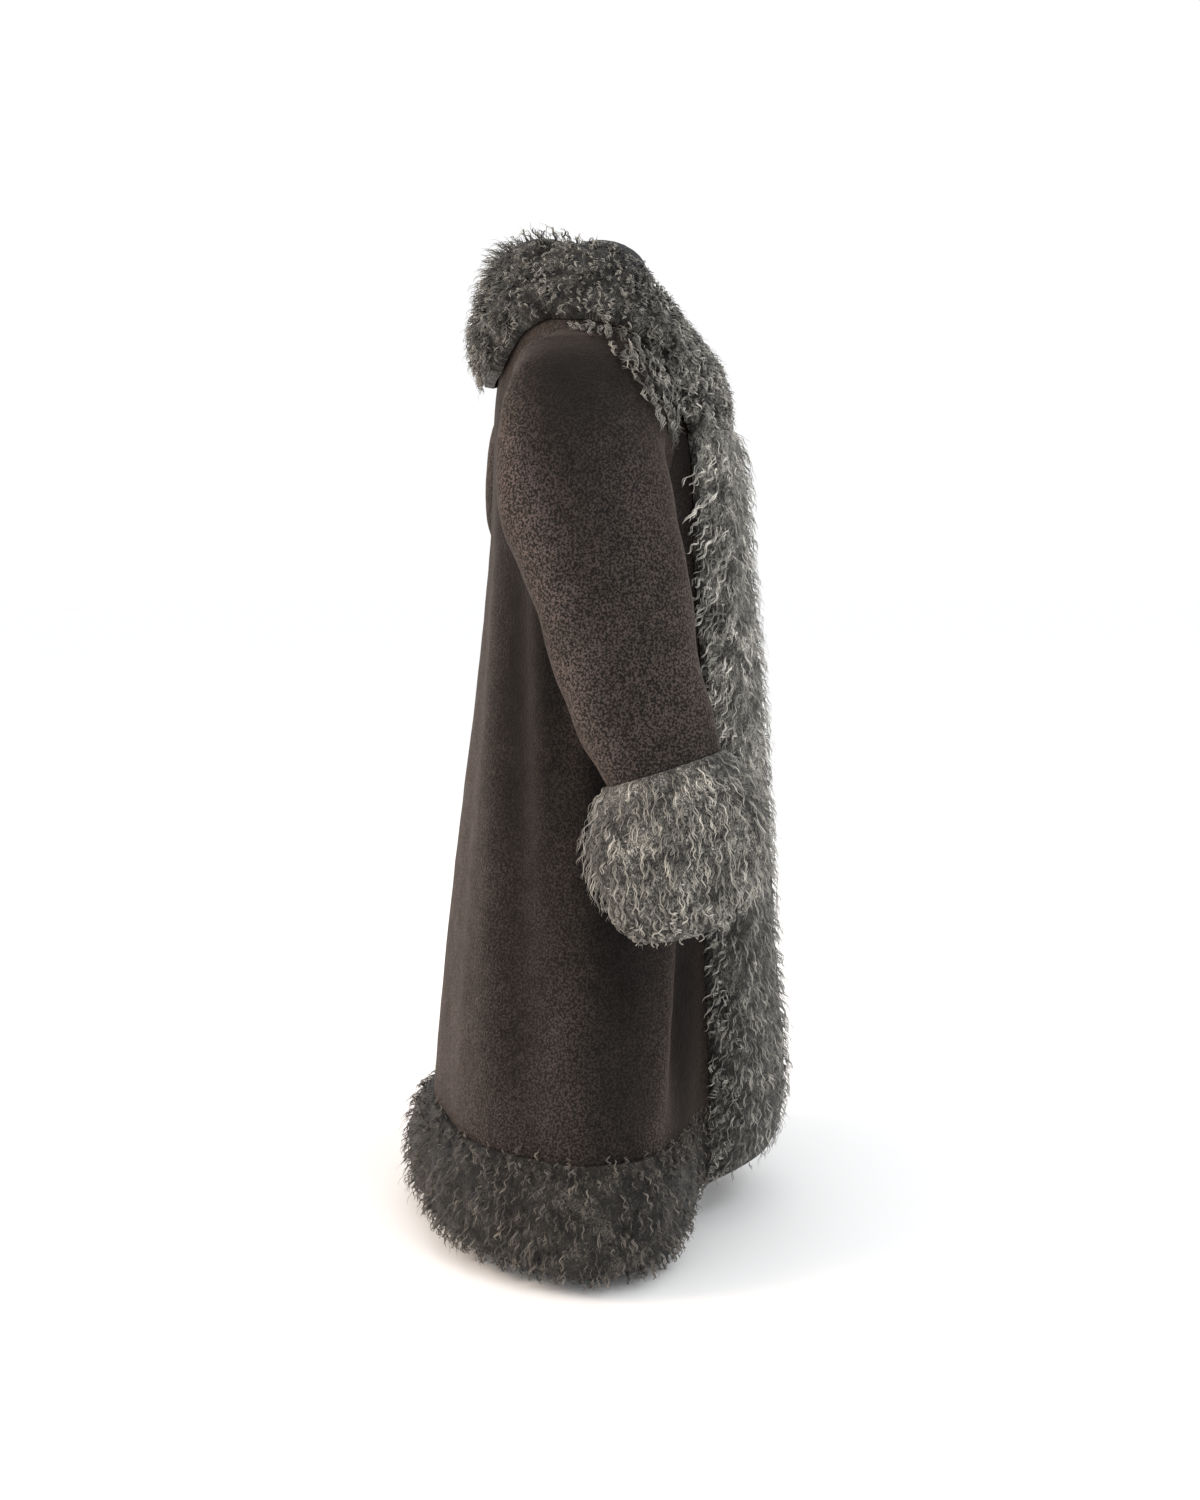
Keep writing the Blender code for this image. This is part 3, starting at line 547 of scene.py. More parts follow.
def panel(name, side, from_angle):
    """The CAD panel on a finer grid: off the coat by its creases, less the seams' dip
    exp(-(metres from the edge / reach)^2), plus the pile's swell."""
    armhole = ARMHOLE_HALF * np.sin(np.radians(np.linspace(-90, 90, PANEL_ALONG // 3)))
    below = np.linspace(HEM_SEAM, UNDERARM, PANEL_ALONG // 2, endpoint=False)
    above = np.linspace(ARMHOLE_TOP, NECKLINE, PANEL_ALONG // 6 + 1)[1:]
    levels = np.concatenate([below, ARMHOLE_MIDDLE + armhole, above])[:, None]
    share = np.linspace(0, 1, PANEL_ACROSS)[None, :]
    towards = np.sign(SIDE_SEAM - from_angle)
    first_gap = SEAM_GAP / 2 if from_angle == 0 else FRONT_EDGE_GAP
    start = from_angle + towards * angle_for(first_gap, side * from_angle, levels)
    seam = angle_for(SEAM_GAP / 2, side * SIDE_SEAM, levels)
    power = SQUARED[0, 1] if from_angle == 0 else 1.0
    end = SIDE_SEAM - towards * np.maximum(armhole_half_angle(levels, power), seam)
    angle = side * (start + (end - start) * share)
    level = np.broadcast_to(levels, angle.shape)
    degree = 1 / angle_for(1.0, angle, level)
    dip = 0
    for edge in (start, end):
        away = np.abs(np.abs(angle) - edge) * degree
        dip = dip + SEAM_DIP * np.exp(-((away / SEAM_REACH) ** 2))
    out = body_waves(BODY_CREASES, angle, level) - dip
    out = out + PILE_SWELL * swell(coat_point(angle, level))
    free = ramp(NECKLINE - level, FADE_AT_NECK) * ramp(level - HEM_SEAM, FADE_AT_HEM)
    out = out * (FADED_SHARE + (1 - FADED_SHARE) * free)
    outer, inner = off_coat(angle, level, out), off_coat(angle, level, out - PLUSH_WALL)
    # painted light and shade for the pile's colour
    painted_shading = body_waves(BODY_PAINTED_SHADING, angle, level)
    piece = shell(name + "_plush", outer, inner, PANEL_CUT_STEP, plush, painted_shading=painted_shading)
    fit(piece, name)


FORM = "form_torso"
SIDES = (("left", 1), ("right", -1))  # the wearer's, with the sign of x
plush = plush_material()
for word, side in SIDES:
    panel(f"back_{word}", side, 0.0)
    panel(f"front_{word}", side, 180.0)

# ------------------------------------------------------------------ the sleeves
# Two long sleeves of the same plush, each cut in one piece and sewn into its armhole. They
# widen over the upper arm and narrow to the forearm, with soft breaks at the elbow.
SLEEVE_TURN_IN = 0.007
LAID_GAP = 0.0011  # what is sewn on lies this far off the plush
# Metres that a level and a degree measure at the armhole
ARMHOLE_LEVEL_METRES, ARMHOLE_DEGREE_METRES = 0.077, 0.0022
# The sleeve, a row for each ring below the armhole: the point of the ring that faces away
# from the body, the one that faces it, how far it reaches behind and ahead of the axis, and
# how much its front edge is higher than its middle.
# Columns: outer_x, outer_z, inner_x, inner_z, behind, ahead, rise
SLEEVE_RINGS = np.array(
    [
        (0.214, 0.986, 0.195, 0.794, 0.112, 0.044, 0.000),
        (0.247, 0.960, 0.200, 0.784, 0.123, 0.049, 0.000),
        (0.275, 0.908, 0.206, 0.770, 0.127, 0.052, 0.000),
        (0.294, 0.845, 0.212, 0.750, 0.122, 0.057, 0.001),
        (0.306, 0.780, 0.219, 0.720, 0.107, 0.065, 0.004),
        (0.313, 0.710, 0.226, 0.680, 0.086, 0.073, 0.008),
        (0.320, 0.645, 0.237, 0.630, 0.065, 0.081, 0.012),
        (0.326, 0.590, 0.248, 0.582, 0.043, 0.090, 0.016),
        (0.330, 0.552, 0.256, 0.545, 0.018, 0.097, 0.018),
    ]
)

# Columns: ring, direction, length in rings, width in degrees, depth (a trough where
# negative). Direction 0 is the sleeve's outer line and 90 its rear.
SLEEVE_FOLDS = np.array(
    [
        (2.6, 250.0, 0.45, 45.0, -0.0050),
        (4.9, 100.0, 0.40, 50.0, -0.0040),
        (5.7, 95.0, 0.35, 45.0, -0.0050),
        (6.6, 255.0, 0.40, 50.0, -0.0040),
        (1.5, 60.0, 0.35, 30.0, -0.0030),
        (3.5, 30.0, 0.30, 34.0, 0.0024),
        (4.3, 320.0, 0.28, 32.0, -0.0030),
        (5.2, 20.0, 0.26, 30.0, 0.0026),
        (5.5, 330.0, 0.24, 28.0, -0.0032),
        (6.1, 40.0, 0.24, 32.0, -0.0030),
        (6.4, 350.0, 0.25, 30.0, 0.0026),
        (7.1, 70.0, 0.28, 34.0, -0.0026),
        (7.5, 310.0, 0.24, 30.0, -0.0026),
        (8.1, 20.0, 0.22, 34.0, 0.0022),
        (8.5, 120.0, 0.22, 36.0, -0.0024),
    ]
)
FOLD_SLANT = 0.0045  # rings that a fold climbs for each degree round the sleeve
LEFT_TURN, LEFT_DROP = 8.0, 0.12  # degrees and rings that the left sleeve's folds are moved
CUFF_SEAM_FADE = 0.5  # rings over which the folds die away at the cuff
SLEEVE_AROUND, SLEEVE_ALONG = 60, 64
SLEEVE_CUT_STEP = (0.006, 0.006)


def squared(turn, place):
    """sign(s)|s|^q for the sine and the cosine of a turn, with q below 1 in the upper rear
    quarter of the first rings and 1 elsewhere."""
    sine, cosine = np.sin(np.radians(turn)), np.cos(np.radians(turn))
    power = np.interp(place, SQUARED[:, 0], SQUARED[:, 1])
    power = np.where((sine > 0) & (cosine > 0), power, 1.0)
    return np.sign(sine) * np.abs(sine) ** power, np.sign(cosine) * np.abs(cosine) ** power


def armhole_ring(side, turn, grown, lift):
    """The armhole's oval (angle = side seam - half * sin, level = middle + half * cos),
    grown by some metres and lifted off the coat."""
    sine, cosine = squared(turn, 0.0)
    angle = SIDE_SEAM - (ARMHOLE_HALF_ANGLE + grown / ARMHOLE_DEGREE_METRES) * sine
    level = ARMHOLE_MIDDLE + (ARMHOLE_HALF + grown / ARMHOLE_LEVEL_METRES) * cosine
    return off_coat(side * angle, level, np.full(angle.shape, lift))


def grown_ring(row, metres):
    """A ring's row with every radius longer by some metres, in its own plane."""
    outer_x, outer_z, inner_x, inner_z, behind, ahead, rise = np.moveaxis(row, -1, 0)
    more = metres / np.hypot(outer_x - inner_x, outer_z - inner_z)
    across_x, across_z = (outer_x - inner_x) * more, (outer_z - inner_z) * more
    rise = rise * (1 + 2 * metres / (behind + ahead))
    ends = (outer_x + across_x, outer_z + across_z, inner_x - across_x, inner_z - across_z)
    return np.stack([*ends, behind + metres, ahead + metres, rise], axis=-1)


def oval_ring(side, turn, row, place):
    """Middle of the ring + half its width * cos across + half its depth * sin along y,
    lowered by rise * sin, squared for its place down the sleeve."""
    outer_x, outer_z, inner_x, inner_z, behind, ahead, rise = np.moveaxis(row, -1, 0)
    sine, cosine = squared(turn, place)
    x = (outer_x + inner_x) / 2 + (outer_x - inner_x) / 2 * cosine
    y = (behind - ahead) / 2 + (behind + ahead) / 2 * sine
    z = (outer_z + inner_z) / 2 + (outer_z - inner_z) / 2 * cosine - rise * sine
    return np.stack([side * x, y, z], axis=-1)


# Painted light and shade on the sleeve's pile, with the same columns and a change of brightness:
# painted shade high up under the collar, down its middle and on the side towards the body, and
# painted light along its rear, which faces the light behind the coat, and lower down on its outer
# face.
SLEEVE_PAINTED_SHADING = np.array(
    [
        (1.5, 345.0, 1.5, 60.0, -0.68),
        (3.6, 12.0, 1.5, 24.0, -0.30),
        (4.4, 60.0, 4.2, 17.0, 0.85),
        (5.6, 322.0, 1.6, 30.0, 0.25),
        (7.8, 345.0, 1.8, 50.0, 0.14),
        (6.0, 200.0, 3.0, 50.0, -0.35),
    ]
)


def sleeve_waves(table, along, turn, side):
    """Sum of depth * exp(-(ring from the slanting line / length)^2 / 2 - (direction away /
    width)^2 / 2), a little different on the two sides."""
    total = np.zeros(np.broadcast(along, turn).shape)
    left = side > 0
    for place, around, length, width, depth in table:
        away = (turn - around - LEFT_TURN * left + 180) % 360 - 180
        up = along - place + LEFT_DROP * left - FOLD_SLANT * away
        total += depth * np.exp(-0.5 * (up / length) ** 2 - 0.5 * (away / width) ** 2)
    return total


def sleeve_point(side, turn, place, out):
    """From the armhole's oval into the table's rings: start + (ring - start) * ease, where
    ease = p^2 (3 - 2p) over the first ring, with every ring grown by out metres."""
    turn, place, out = np.broadcast_arrays(turn, place, out)
    start = armhole_ring(side, turn, SLEEVE_TURN_IN + out, LAID_GAP)
    ring = oval_ring(side, turn, grown_ring(smooth_rows(SLEEVE_RINGS, place - 1), out), place)
    into = ramp(place, 1)[..., None]
    return start + (ring - start) * into**2 * (3 - 2 * into)


for word, side in SIDES:
    turn = (np.arange(SLEEVE_AROUND) * 360 / SLEEVE_AROUND)[:, None]
    place = np.linspace(0, len(SLEEVE_RINGS), SLEEVE_ALONG)[None, :]
    free = ramp(len(SLEEVE_RINGS) - place, CUFF_SEAM_FADE) * ramp(place, 1)
    folds = sleeve_waves(SLEEVE_FOLDS, place, turn, side) * free
    rough = PILE_SWELL * swell(sleeve_point(side, turn, place, folds)) * free
    outer = sleeve_point(side, turn, place, folds + rough)
    inner = sleeve_point(side, turn, place, folds - PLUSH_WALL)
    # painted light and shade for the pile's colour
    painted_shading = sleeve_waves(SLEEVE_PAINTED_SHADING, place, turn, side)
    piece = shell(f"sleeve_{word}_plush", outer, inner, SLEEVE_CUT_STEP, plush, True, painted_shading)
    fit(piece, f"sleeve_{word}")

# ------------------------------------------------------------------ the hem
# A strip of curly long-wool pelt sewn round the skirt's lower edge. Like every trim it is a
# crowned pelt whose leather lies on the plush, and its wool: ringlets of fine strands that
# stand up out of the pelt, curl, and fall the way it lies, here almost to the floor.
HEM_DEPTH = 0.033
HEM_EDGES = (0.30, 0.15)  # the share of its depth left at the upper and the lower edge
HEM_THIN_FROM, HEM_THIN_TO = 105.0, 0.68  # it thins from this angle to the bands
HEM_LEVEL_METRES = 0.09
HEM_END_GAP = 0.35  # degrees from the front bands
# Where the hem ends: the front bands' rear edge. Columns: level, rear_angle
BAND_EDGE = np.array([(0.0, 139.0), (1.0, 139.0), (3.0, 134.0), (5.0, 130.0), (6.4, 131.0)])
ROUND_SHARE = 0.30  # of a trim's width, over which it rounds down to each edge
PELT_SHARE = 0.80  # the pelt's own crown, as a share of the trim's whole depth
PELT_LUMPS = 0.10  # and the height of its lumps
PELT_THICK = 0.010  # its thickness with the wool's dense roots


def rounded(share, start, end):
    """(s + (1-s)(1 - (1 - share/r)^2)) * (e + (1-e)(1 - (1 - (1-share)/r)^2)), with the
    squares' insides held at nought or more and r the rounding's share."""
    rise = 1 - ramp(ROUND_SHARE - share, ROUND_SHARE) ** 2
    fall = 1 - ramp(ROUND_SHARE - (1 - share), ROUND_SHARE) ** 2
    return (start + (1 - start) * rise) * (end + (1 - end) * fall)


def hem_surface(u, v, share):
    """Wool over the hem: u runs round from the wearer's right front to the left, v down."""
    end = float(np.interp(HEM_EDGE, BAND_EDGE[:, 0], BAND_EDGE[:, 1])) - HEM_END_GAP
    top = HEM_SEAM - SEAM_GAP / HEM_LEVEL_METRES
    angle, level = -end + 2 * end * u, top + (HEM_EDGE - top) * v
    thin = np.interp(np.abs(angle), (HEM_THIN_FROM, end), (1.0, HEM_THIN_TO))
    full = HEM_DEPTH * thin * rounded(v, *HEM_EDGES)
    return off_coat(angle, level, -PLUSH_WALL + (full + PLUSH_WALL) * share)


def lumps(u, v, scale):
    """Two crossing waves over the trim, between -1 and 1: its larger locks."""
    return 0.6 * np.sin(scale[0] * u + 2 * np.sin(3.1 * v)) * np.sin(scale[1] * v + 1) + (
        0.4 * np.sin(1.7 * scale[0] * u - 1.3 * scale[1] * v)
    )


def even(value):
    """A setting that is the same all over a trim."""
    return lambda u, v: value + 0 * u


def pelt(name, surface, steps, scale, material, ring=False, height=even(1.0)):
    """The crowned pelt: the trim's surface at its share of the depth, with lumps, and the
    same surface moved in by its thickness, or to the leather side where that is nearer."""
    u = np.linspace(0, 1, steps[0], endpoint=not ring)[:, None]
    v = np.linspace(0, 1, steps[1])[None, :]
    u, v = np.broadcast_arrays(u, v)
    low, full = surface(u, v, np.zeros(u.shape)), surface(u, v, np.ones(u.shape))
    depth = np.linalg.norm(full - low, axis=-1)
    lumpy = PELT_LUMPS * lumps(u, v, scale) * np.sin(np.pi * v)
    share = (PELT_SHARE + lumpy) * height(u, v)
    under = np.clip(share - PELT_THICK / np.maximum(depth, 1e-4), 0, 1)
    outer = low + (full - low) * share[..., None]
    inner = low + (full - low) * under[..., None]
    across = np.linalg.norm(np.diff(outer, axis=0), axis=-1).mean()
    along = np.linalg.norm(np.diff(outer, axis=1), axis=-1).mean()
    return shell(name, outer, inner, (across, along), material, ring)


ROOT_STEP = 0.002  # of u and v, for slopes
ROOT_CELLS = 120  # each way, over which the trim's area is measured
GOLDEN_PAIR = (0.7548776662, 0.5698402910)  # steps that fill a square evenly
ROOT_JITTER = 0.9  # of the mean distance between roots
LOCK_LEAN = 0.28
REACH_VARIES, STAND_VARIES, CURL_VARIES = (0.80, 1.15), (0.85, 1.1), (0.85, 1.1)
PHASE_VARIES = 0.7
STRAND_SIDES = 3
STRAND_ACROSS, STRAND_THROUGH = 1.35, 0.75  # a strand is wider than it is thick
LOCK_SHADE = 0.65  # how much of a strand's shade is its lock's
FLOOR_CLEAR = 0.004


def root_frames(surface, u, v, low):
    """At each root: its place, the surface's slopes along u and v, the way out of the pelt
    (slope u x slope v over its length), that length, and the depth of wool above it."""
    root = surface(u, v, low)
    run_u = (surface(u + ROOT_STEP, v, low) - surface(u - ROOT_STEP, v, low)) / (2 * ROOT_STEP)
    run_v = (surface(u, v + ROOT_STEP, low) - surface(u, v - ROOT_STEP, low)) / (2 * ROOT_STEP)
    to_full = surface(u, v, np.ones(u.shape)) - root
    out = np.cross(run_u, run_v)
    area = np.linalg.norm(out, axis=-1)
    out = unit(out) * np.sign(np.einsum("ij,ij->i", out, to_full))[:, None]
    return root, run_u, run_v, out, area, np.linalg.norm(to_full, axis=-1)


def root_places(surface, count, options, rng):
    """u and v of the locks' roots: multiples of the golden pair, less their whole part,
    with a little jitter, drawn out so that each has the same area times its density."""
    first, last = options["first"], options["last"]
    cells = (np.arange(ROOT_CELLS) + 0.5) / ROOT_CELLS
    grid_u, grid_v = np.meshgrid(cells, first + (last - first) * cells, indexing="ij")
    middle = np.full(grid_u.size, 0.5)
    area = root_frames(surface, grid_u.ravel(), grid_v.ravel(), middle)[4]
    area = area.reshape(grid_u.shape) * options["dense"](grid_u, grid_v)
    tries = np.arange(1, count + 1)
    jitter = rng.uniform(-0.5, 0.5, (2, count)) * ROOT_JITTER / np.sqrt(count)
    across = (tries * GOLDEN_PAIR[0] + jitter[0]) % 1
    down = np.clip(tries * GOLDEN_PAIR[1] % 1 + jitter[1], 0.0005, 0.9995)
    column_sum = np.concatenate([[0], np.cumsum(area.sum(axis=1))])
    u = np.interp(across * column_sum[-1], column_sum, np.linspace(0, 1, ROOT_CELLS + 1))
    row = np.minimum((u * ROOT_CELLS).astype(int), ROOT_CELLS - 1)
    share = np.cumsum(area, axis=1) / area.sum(axis=1, keepdims=True)
    ordered = (share + np.arange(ROOT_CELLS)[:, None]).ravel()
    found = np.searchsorted(ordered, row + down) - row * ROOT_CELLS
    start = np.where(found > 0, share[row, np.maximum(found - 1, 0)], 0)
    part = (down - start) / np.maximum(share[row, found] - start, 1e-9)
    return u, first + (last - first) * (found + part) / ROOT_CELLS


def above_floor(z):
    """z down to four clearances, and below that c + 3c * exp((z - 4c) / 3c)."""
    reach = 3 * FLOOR_CLEAR
    near = FLOOR_CLEAR + reach
    return np.where(z < near, FLOOR_CLEAR + reach * np.exp((z - near) / reach), z)


def strand_mesh(name, line, out, side, radius, shade, material):
    """Three-sided tubes round lines of points, shut at the root and drawn to a point at the
    tip: radius * (1 - 0.65 t^2) * min(1, 0.55 + 2t) thick at t. Their UV is (shade, t)."""
    total, steps = line.shape[:2]
    t = np.linspace(0, 1, steps)[None, :, None]
    tangent = unit(np.gradient(line, axis=1))
    first = unit(np.cross(tangent, out + 0.01 * side))
    second = np.cross(tangent, first)
    thick = radius[:, None, None] * (1 - 0.65 * t**2) * np.minimum(1, 0.55 + 2 * t)
    corner = (np.arange(STRAND_SIDES) * 2 * np.pi / STRAND_SIDES)[:, None]
    ring = line[:, :-1, None, :] + thick[:, :-1, :, None] * (
        first[:, :-1, None, :] * np.cos(corner) * STRAND_ACROSS
        + second[:, :-1, None, :] * np.sin(corner) * STRAND_THROUGH
    )
    size = (steps - 1) * STRAND_SIDES + 1
    points = np.concatenate([ring.reshape(total, -1, 3), line[:, -1:]], axis=1).reshape(-1, 3)
    base = np.arange(total)[:, None, None] * size
    low = base + np.arange(steps - 2)[None, :, None] * STRAND_SIDES
    high, last = low + STRAND_SIDES, base + (steps - 2) * STRAND_SIDES
    place = np.arange(STRAND_SIDES)
    after = (place + 1) % STRAND_SIDES
    quads = np.stack([low + place, low + after, high + after, high + place], axis=-1)
    tips = np.stack([last + place, last + after, base + size - 1 + 0 * place], axis=-1)
    polygons = [quads.reshape(-1, 4), tips.reshape(-1, 3), base[:, 0] + place[::-1]]
    vertex_t = np.append(np.repeat(t[0, :-1, 0], STRAND_SIDES), 1.0)
    uv = [np.stack([shade[p // size], vertex_t[p % size]], axis=-1) for p in polygons]
    return add_mesh(name, points, polygons, uv, material)


def ringlets(name, surface, count, options, material, seed):
    """Locks of curly strands rooted in the pelt. At t from root to tip a strand lies at
    root + out * stand * (1 - (1 - t)^2.2) + flow * reach * t^1.15 + side * curl * sin +
    out * 0.75 curl * cos of its turns, and draws in to the middle of its lock."""
    rng = np.random.default_rng(seed)
    each = options["strands"]
    u, v = (np.repeat(x, each) for x in root_places(surface, count, options, rng))
    low = np.full(u.shape, options["root"])
    root, run_u, run_v, out, _, depth = root_frames(surface, u, v, low)

    def by_lock(least, most):
        return np.repeat(rng.uniform(least, most, count), each)

    def by_strand(least, most):
        return rng.uniform(least, most, count * each)

    lean = options["lean"](u, v) + by_lock(-LOCK_LEAN, LOCK_LEAN)
    reach = by_lock(*options["reach"]) * by_strand(*REACH_VARIES) * options["shorter"](u, v)
    stand = depth * by_lock(*options["stand"]) * by_strand(*STAND_VARIES) + options["proud"]
    stand = stand * options["flatter"](u, v)
    curl = by_lock(*options["curl"]) * by_strand(*CURL_VARIES)
    curl = curl * (1 + options["looser"] * ramp(v - 0.7, 0.3))
    turns = by_lock(*options["turns"])
    hand = np.repeat(rng.choice([-1.0, 1.0], count), each)
    phase = by_lock(0, 2 * np.pi) + by_strand(-PHASE_VARIES, PHASE_VARIES)
    spot, far = by_strand(0, 2 * np.pi), np.sqrt(by_strand(0, 1)) * options["bunch"]
    radius = by_strand(*options["radius"])
    shade = by_lock(0, 1) * LOCK_SHADE + by_strand(0, 1) * (1 - LOCK_SHADE)

    up = np.array([0, 0, 1.0])
    out = unit(out + up * options["lift"](u, v)[:, None])
    flow = unit(unit(run_v) + unit(run_u) * lean[:, None] - up * options["droop"])
    flow = unit(flow - out * np.einsum("ij,ij->i", flow, out)[:, None] * 0.6)
    side = unit(np.cross(out, flow))
    t = np.linspace(0, 1, options["points"])[None, :, None]
    root, out, flow, side = (x[:, None, :] for x in (root, out, flow, side))
    reach, stand, curl, turns, hand, phase, spot, far = (
        x[:, None, None] for x in (reach, stand, curl, turns, hand, phase, spot, far)
    )
    angle = phase + 2 * np.pi * turns * t
    swing = curl * (0.35 + 0.65 * np.minimum(1, 3 * t))
    spread = far * (1 - 0.55 * t)
    line = (
        root
        + out * stand * (1 - (1 - t) ** 2.2)
        + flow * reach * t**1.15
        + side * (swing * hand * np.sin(angle) + spread * np.cos(spot))
        + out * (0.75 * swing * np.cos(angle))
        + flow * spread * np.sin(spot)
    )
    line[..., 2] = above_floor(line[..., 2])
    return strand_mesh(name, line, out, side, radius, shade, material)


# Columns: axis that the wool's brightness follows, place where it starts to change, place
# where it stops, factor before and factor after
EVEN_LEVELS = (2, 0.0, 1.0, 1.0, 1.0)
# The hem's wool is brighter at its lower edge: a painted light, the bounce from the floor just
# below it.
HEM_BOUNCE_LIGHT = (2, 0.02, 0.09, 1.40, 1.0)
BROWN_TAUPE = (1.0, 0.895, 0.75)


def patches(start, place):
    """Broad patches, darker and paler, a hand's width across."""
    return start.noise(place, 26.0, 2.0, 0.55, 1.0).spread(0.33, 0.67)


def painted_clump_shading(start, place, strength):
    """A factor on the wool's brightness, painted shade between its lock clusters and painted light
    on them: 1 - strength between, 1 + strength on.
    """
    clump_shading = start.noise(place, 46.0, 2.0, 0.5, 0.6).spread(0.37, 0.62)
    return clump_shading * (2 * strength) + (1 - strength)


def placed(start, place, levels):
    """A factor on the wool's brightness by its place along one axis of the coat."""
    axis, *changes = levels
    along = start.node("ShaderNodeSeparateXYZ", {}, {0: place}, output=axis)
    return along.range(*changes)


def dyed(hue, strength):
    """This hue at this strength, as a colour."""
    return (*(strength * part for part in hue), 1.0)


def pelt_material(name, tone, hue, strength, levels=EVEN_LEVELS):
    """The wool's dense body: fine curls drawn out along the UV's v, dark in the hollows of its
    bump, a painted shade, and pale on its crests, partly the wool's paler tips and partly a
    painted highlight, with painted shade and light over its lock clusters and broad patches."""
    material, shader, start, place = new_material(name)
    cut = start.node("ShaderNodeUVMap", {"uv_map": "cut"})
    drawn_out = {"Vector": cut, "Scale": (430.0, 210.0, 1.0)}
    streaks = start.node("ShaderNodeMapping", {}, drawn_out)
    curls = start.noise(streaks, 1.0, 2.0, 0.5, 3.0).spread(0.38, 0.62)
    locks = start.noise(place, 95.0, 3.0, 0.6, 2.0).spread(0.36, 0.64)
    # the colour follows the bump: painted shade in its hollows, painted highlight on its crests
    crest = (0.6 * curls + 0.4 * locks) ** 2.0 * (0.35 + 1.0 * patches(start, place))
    # painted shade between the lock clusters and painted light on them
    crest = crest * painted_clump_shading(start, place, strength) * placed(start, place, levels)
    values = {
        "Base Color": crest.mix(dyed(hue, 0.006 * tone), dyed(hue, 0.360 * tone)),
        "Roughness": 0.50,
        "Specular IOR Level": 0.4,
        "Normal": start.bump(curls * 0.6 + locks * 0.7, 1.0, 0.006),
    }
    feed(shader, start, values)
    return material


def wool_material(name, tone, hue, tip, strength, levels=EVEN_LEVELS):
    """Strands: dark at the root, a painted shade down among the other strands, a grey-taupe
    that differs by the strand, painted shade and light over their lock clusters, paler tips
    and a silky gleam. The UV's u is the strand's own tone and its v runs from root to tip."""
    material, shader, start, place = new_material(name)
    cut = start.node("ShaderNodeUVMap", {"uv_map": "cut"})
    own = start.node("ShaderNodeSeparateXYZ", {}, {0: cut}, output=0)
    along = start.node("ShaderNodeSeparateXYZ", {}, {0: cut}, output=1)
    # painted shade between the lock clusters and painted light on them
    clump_shading = painted_clump_shading(start, place, strength)
    pale = (own**1.6) * (0.45 + 1.0 * patches(start, place)) * clump_shading
    pale = pale * placed(start, place, levels)
    body = pale.mix(dyed(hue, 0.018 * tone), dyed(hue, 0.340 * tone))
    # painted shade near the root, down among the other strands
    shaded_root = (along * 2.6).spread(0.0, 1.0).mix(dyed(hue, 0.018 * 0.30 * tone), body)
    ended = ((along**2.0) * clump_shading * 0.5).mix(shaded_root, (*tip, 1.0))
    roughness = 0.30 + 0.16 * own
    feed(shader, start, {"Base Color": ended, "Roughness": roughness, "Specular IOR Level": 0.6})
    return material


def dress(piece, node, locks):
    """The calls that every trim's pelt and its wool need."""
    for part in (piece, *locks):
        fit(part, node)


def part_of(surface, u_span, v_span=(0.0, 1.0)):
    """The stretch of a trim's surface between two shares of its u and two of its v."""
    (u_from, u_to), (v_from, v_to) = u_span, v_span
    return lambda u, v, share: surface(
        u_from + (u_to - u_from) * u, v_from + (v_to - v_from) * v, share
    )


# The wool's kinds of lock. first and last bound the roots' v, and root is their share of the
# depth. stand (share of the depth), reach, curl, bunch, radius and proud (metres) and turns
# shape a strand. dense, lean, shorter, flatter and lift change over the trim.
CURLS = {
    "strands": 2,
    "points": 8,
    "first": 0.0,
    "last": 0.97,
    "root": 0.72,
    "stand": (0.70, 1.25),
    "reach": (0.009, 0.018),
    "curl": (0.0013, 0.0024),
    "looser": 0.5,
    "turns": (1.2, 1.8),
    "bunch": 0.0016,
    "radius": (0.0004, 0.0008),
    "droop": 0.3,
    "proud": 0.001,
    "dense": even(1.0),
    "lean": even(0.0),
    "shorter": even(1.0),
    "flatter": even(1.0),
    "lift": even(0.0),
}
WISPS = dict(
    CURLS,
    strands=1,
    points=6,
    stand=(1.0, 1.5),
    reach=(0.012, 0.022),
    curl=(0.0018, 0.0034),
    turns=(0.7, 1.1),
    radius=(0.0002, 0.0004),
    proud=0.003,
)
HANGING = dict(
    CURLS,
    strands=3,
    points=10,
    first=0.70,
    last=0.95,
    root=0.66,
    stand=(0.50, 1.10),
    reach=(0.008, 0.017),
    curl=(0.0018, 0.0032),
    turns=(1.3, 2.1),
    droop=0.9,
)
SEAM_LOCKS = dict(
    CURLS, points=7, root=0.5, stand=(0.4, 1.0), reach=(0.007, 0.014), droop=0.0
)
# In front, next to the bands, the hem is thinner, its wool is clipped and its seam is full.
HEM_FRONT_FROM, HEM_FRONT_OVER = 0.66, 0.16  # shares of the way from the back to the bands
HEM_FRONT_THINNED, HEM_FRONT_CLIPPED, HEM_FRONT_DENSER = 0.5, 0.4, 3.0
HEM_SEAM_SPAN = (0.20, 0.0)  # the v where its upward locks start and end


def in_front(u, v):
    """0 round the hem and 1 next to the bands."""
    return ramp(np.abs(2 * u - 1) - HEM_FRONT_FROM, HEM_FRONT_OVER)


def thinner_in_front(u, v):
    return 1 - HEM_FRONT_THINNED * in_front(u, v)


def hem_thinned(u, v, share):
    """The hem's wool, thinner in front."""
    return hem_surface(u, v, share * thinner_in_front(u, v))


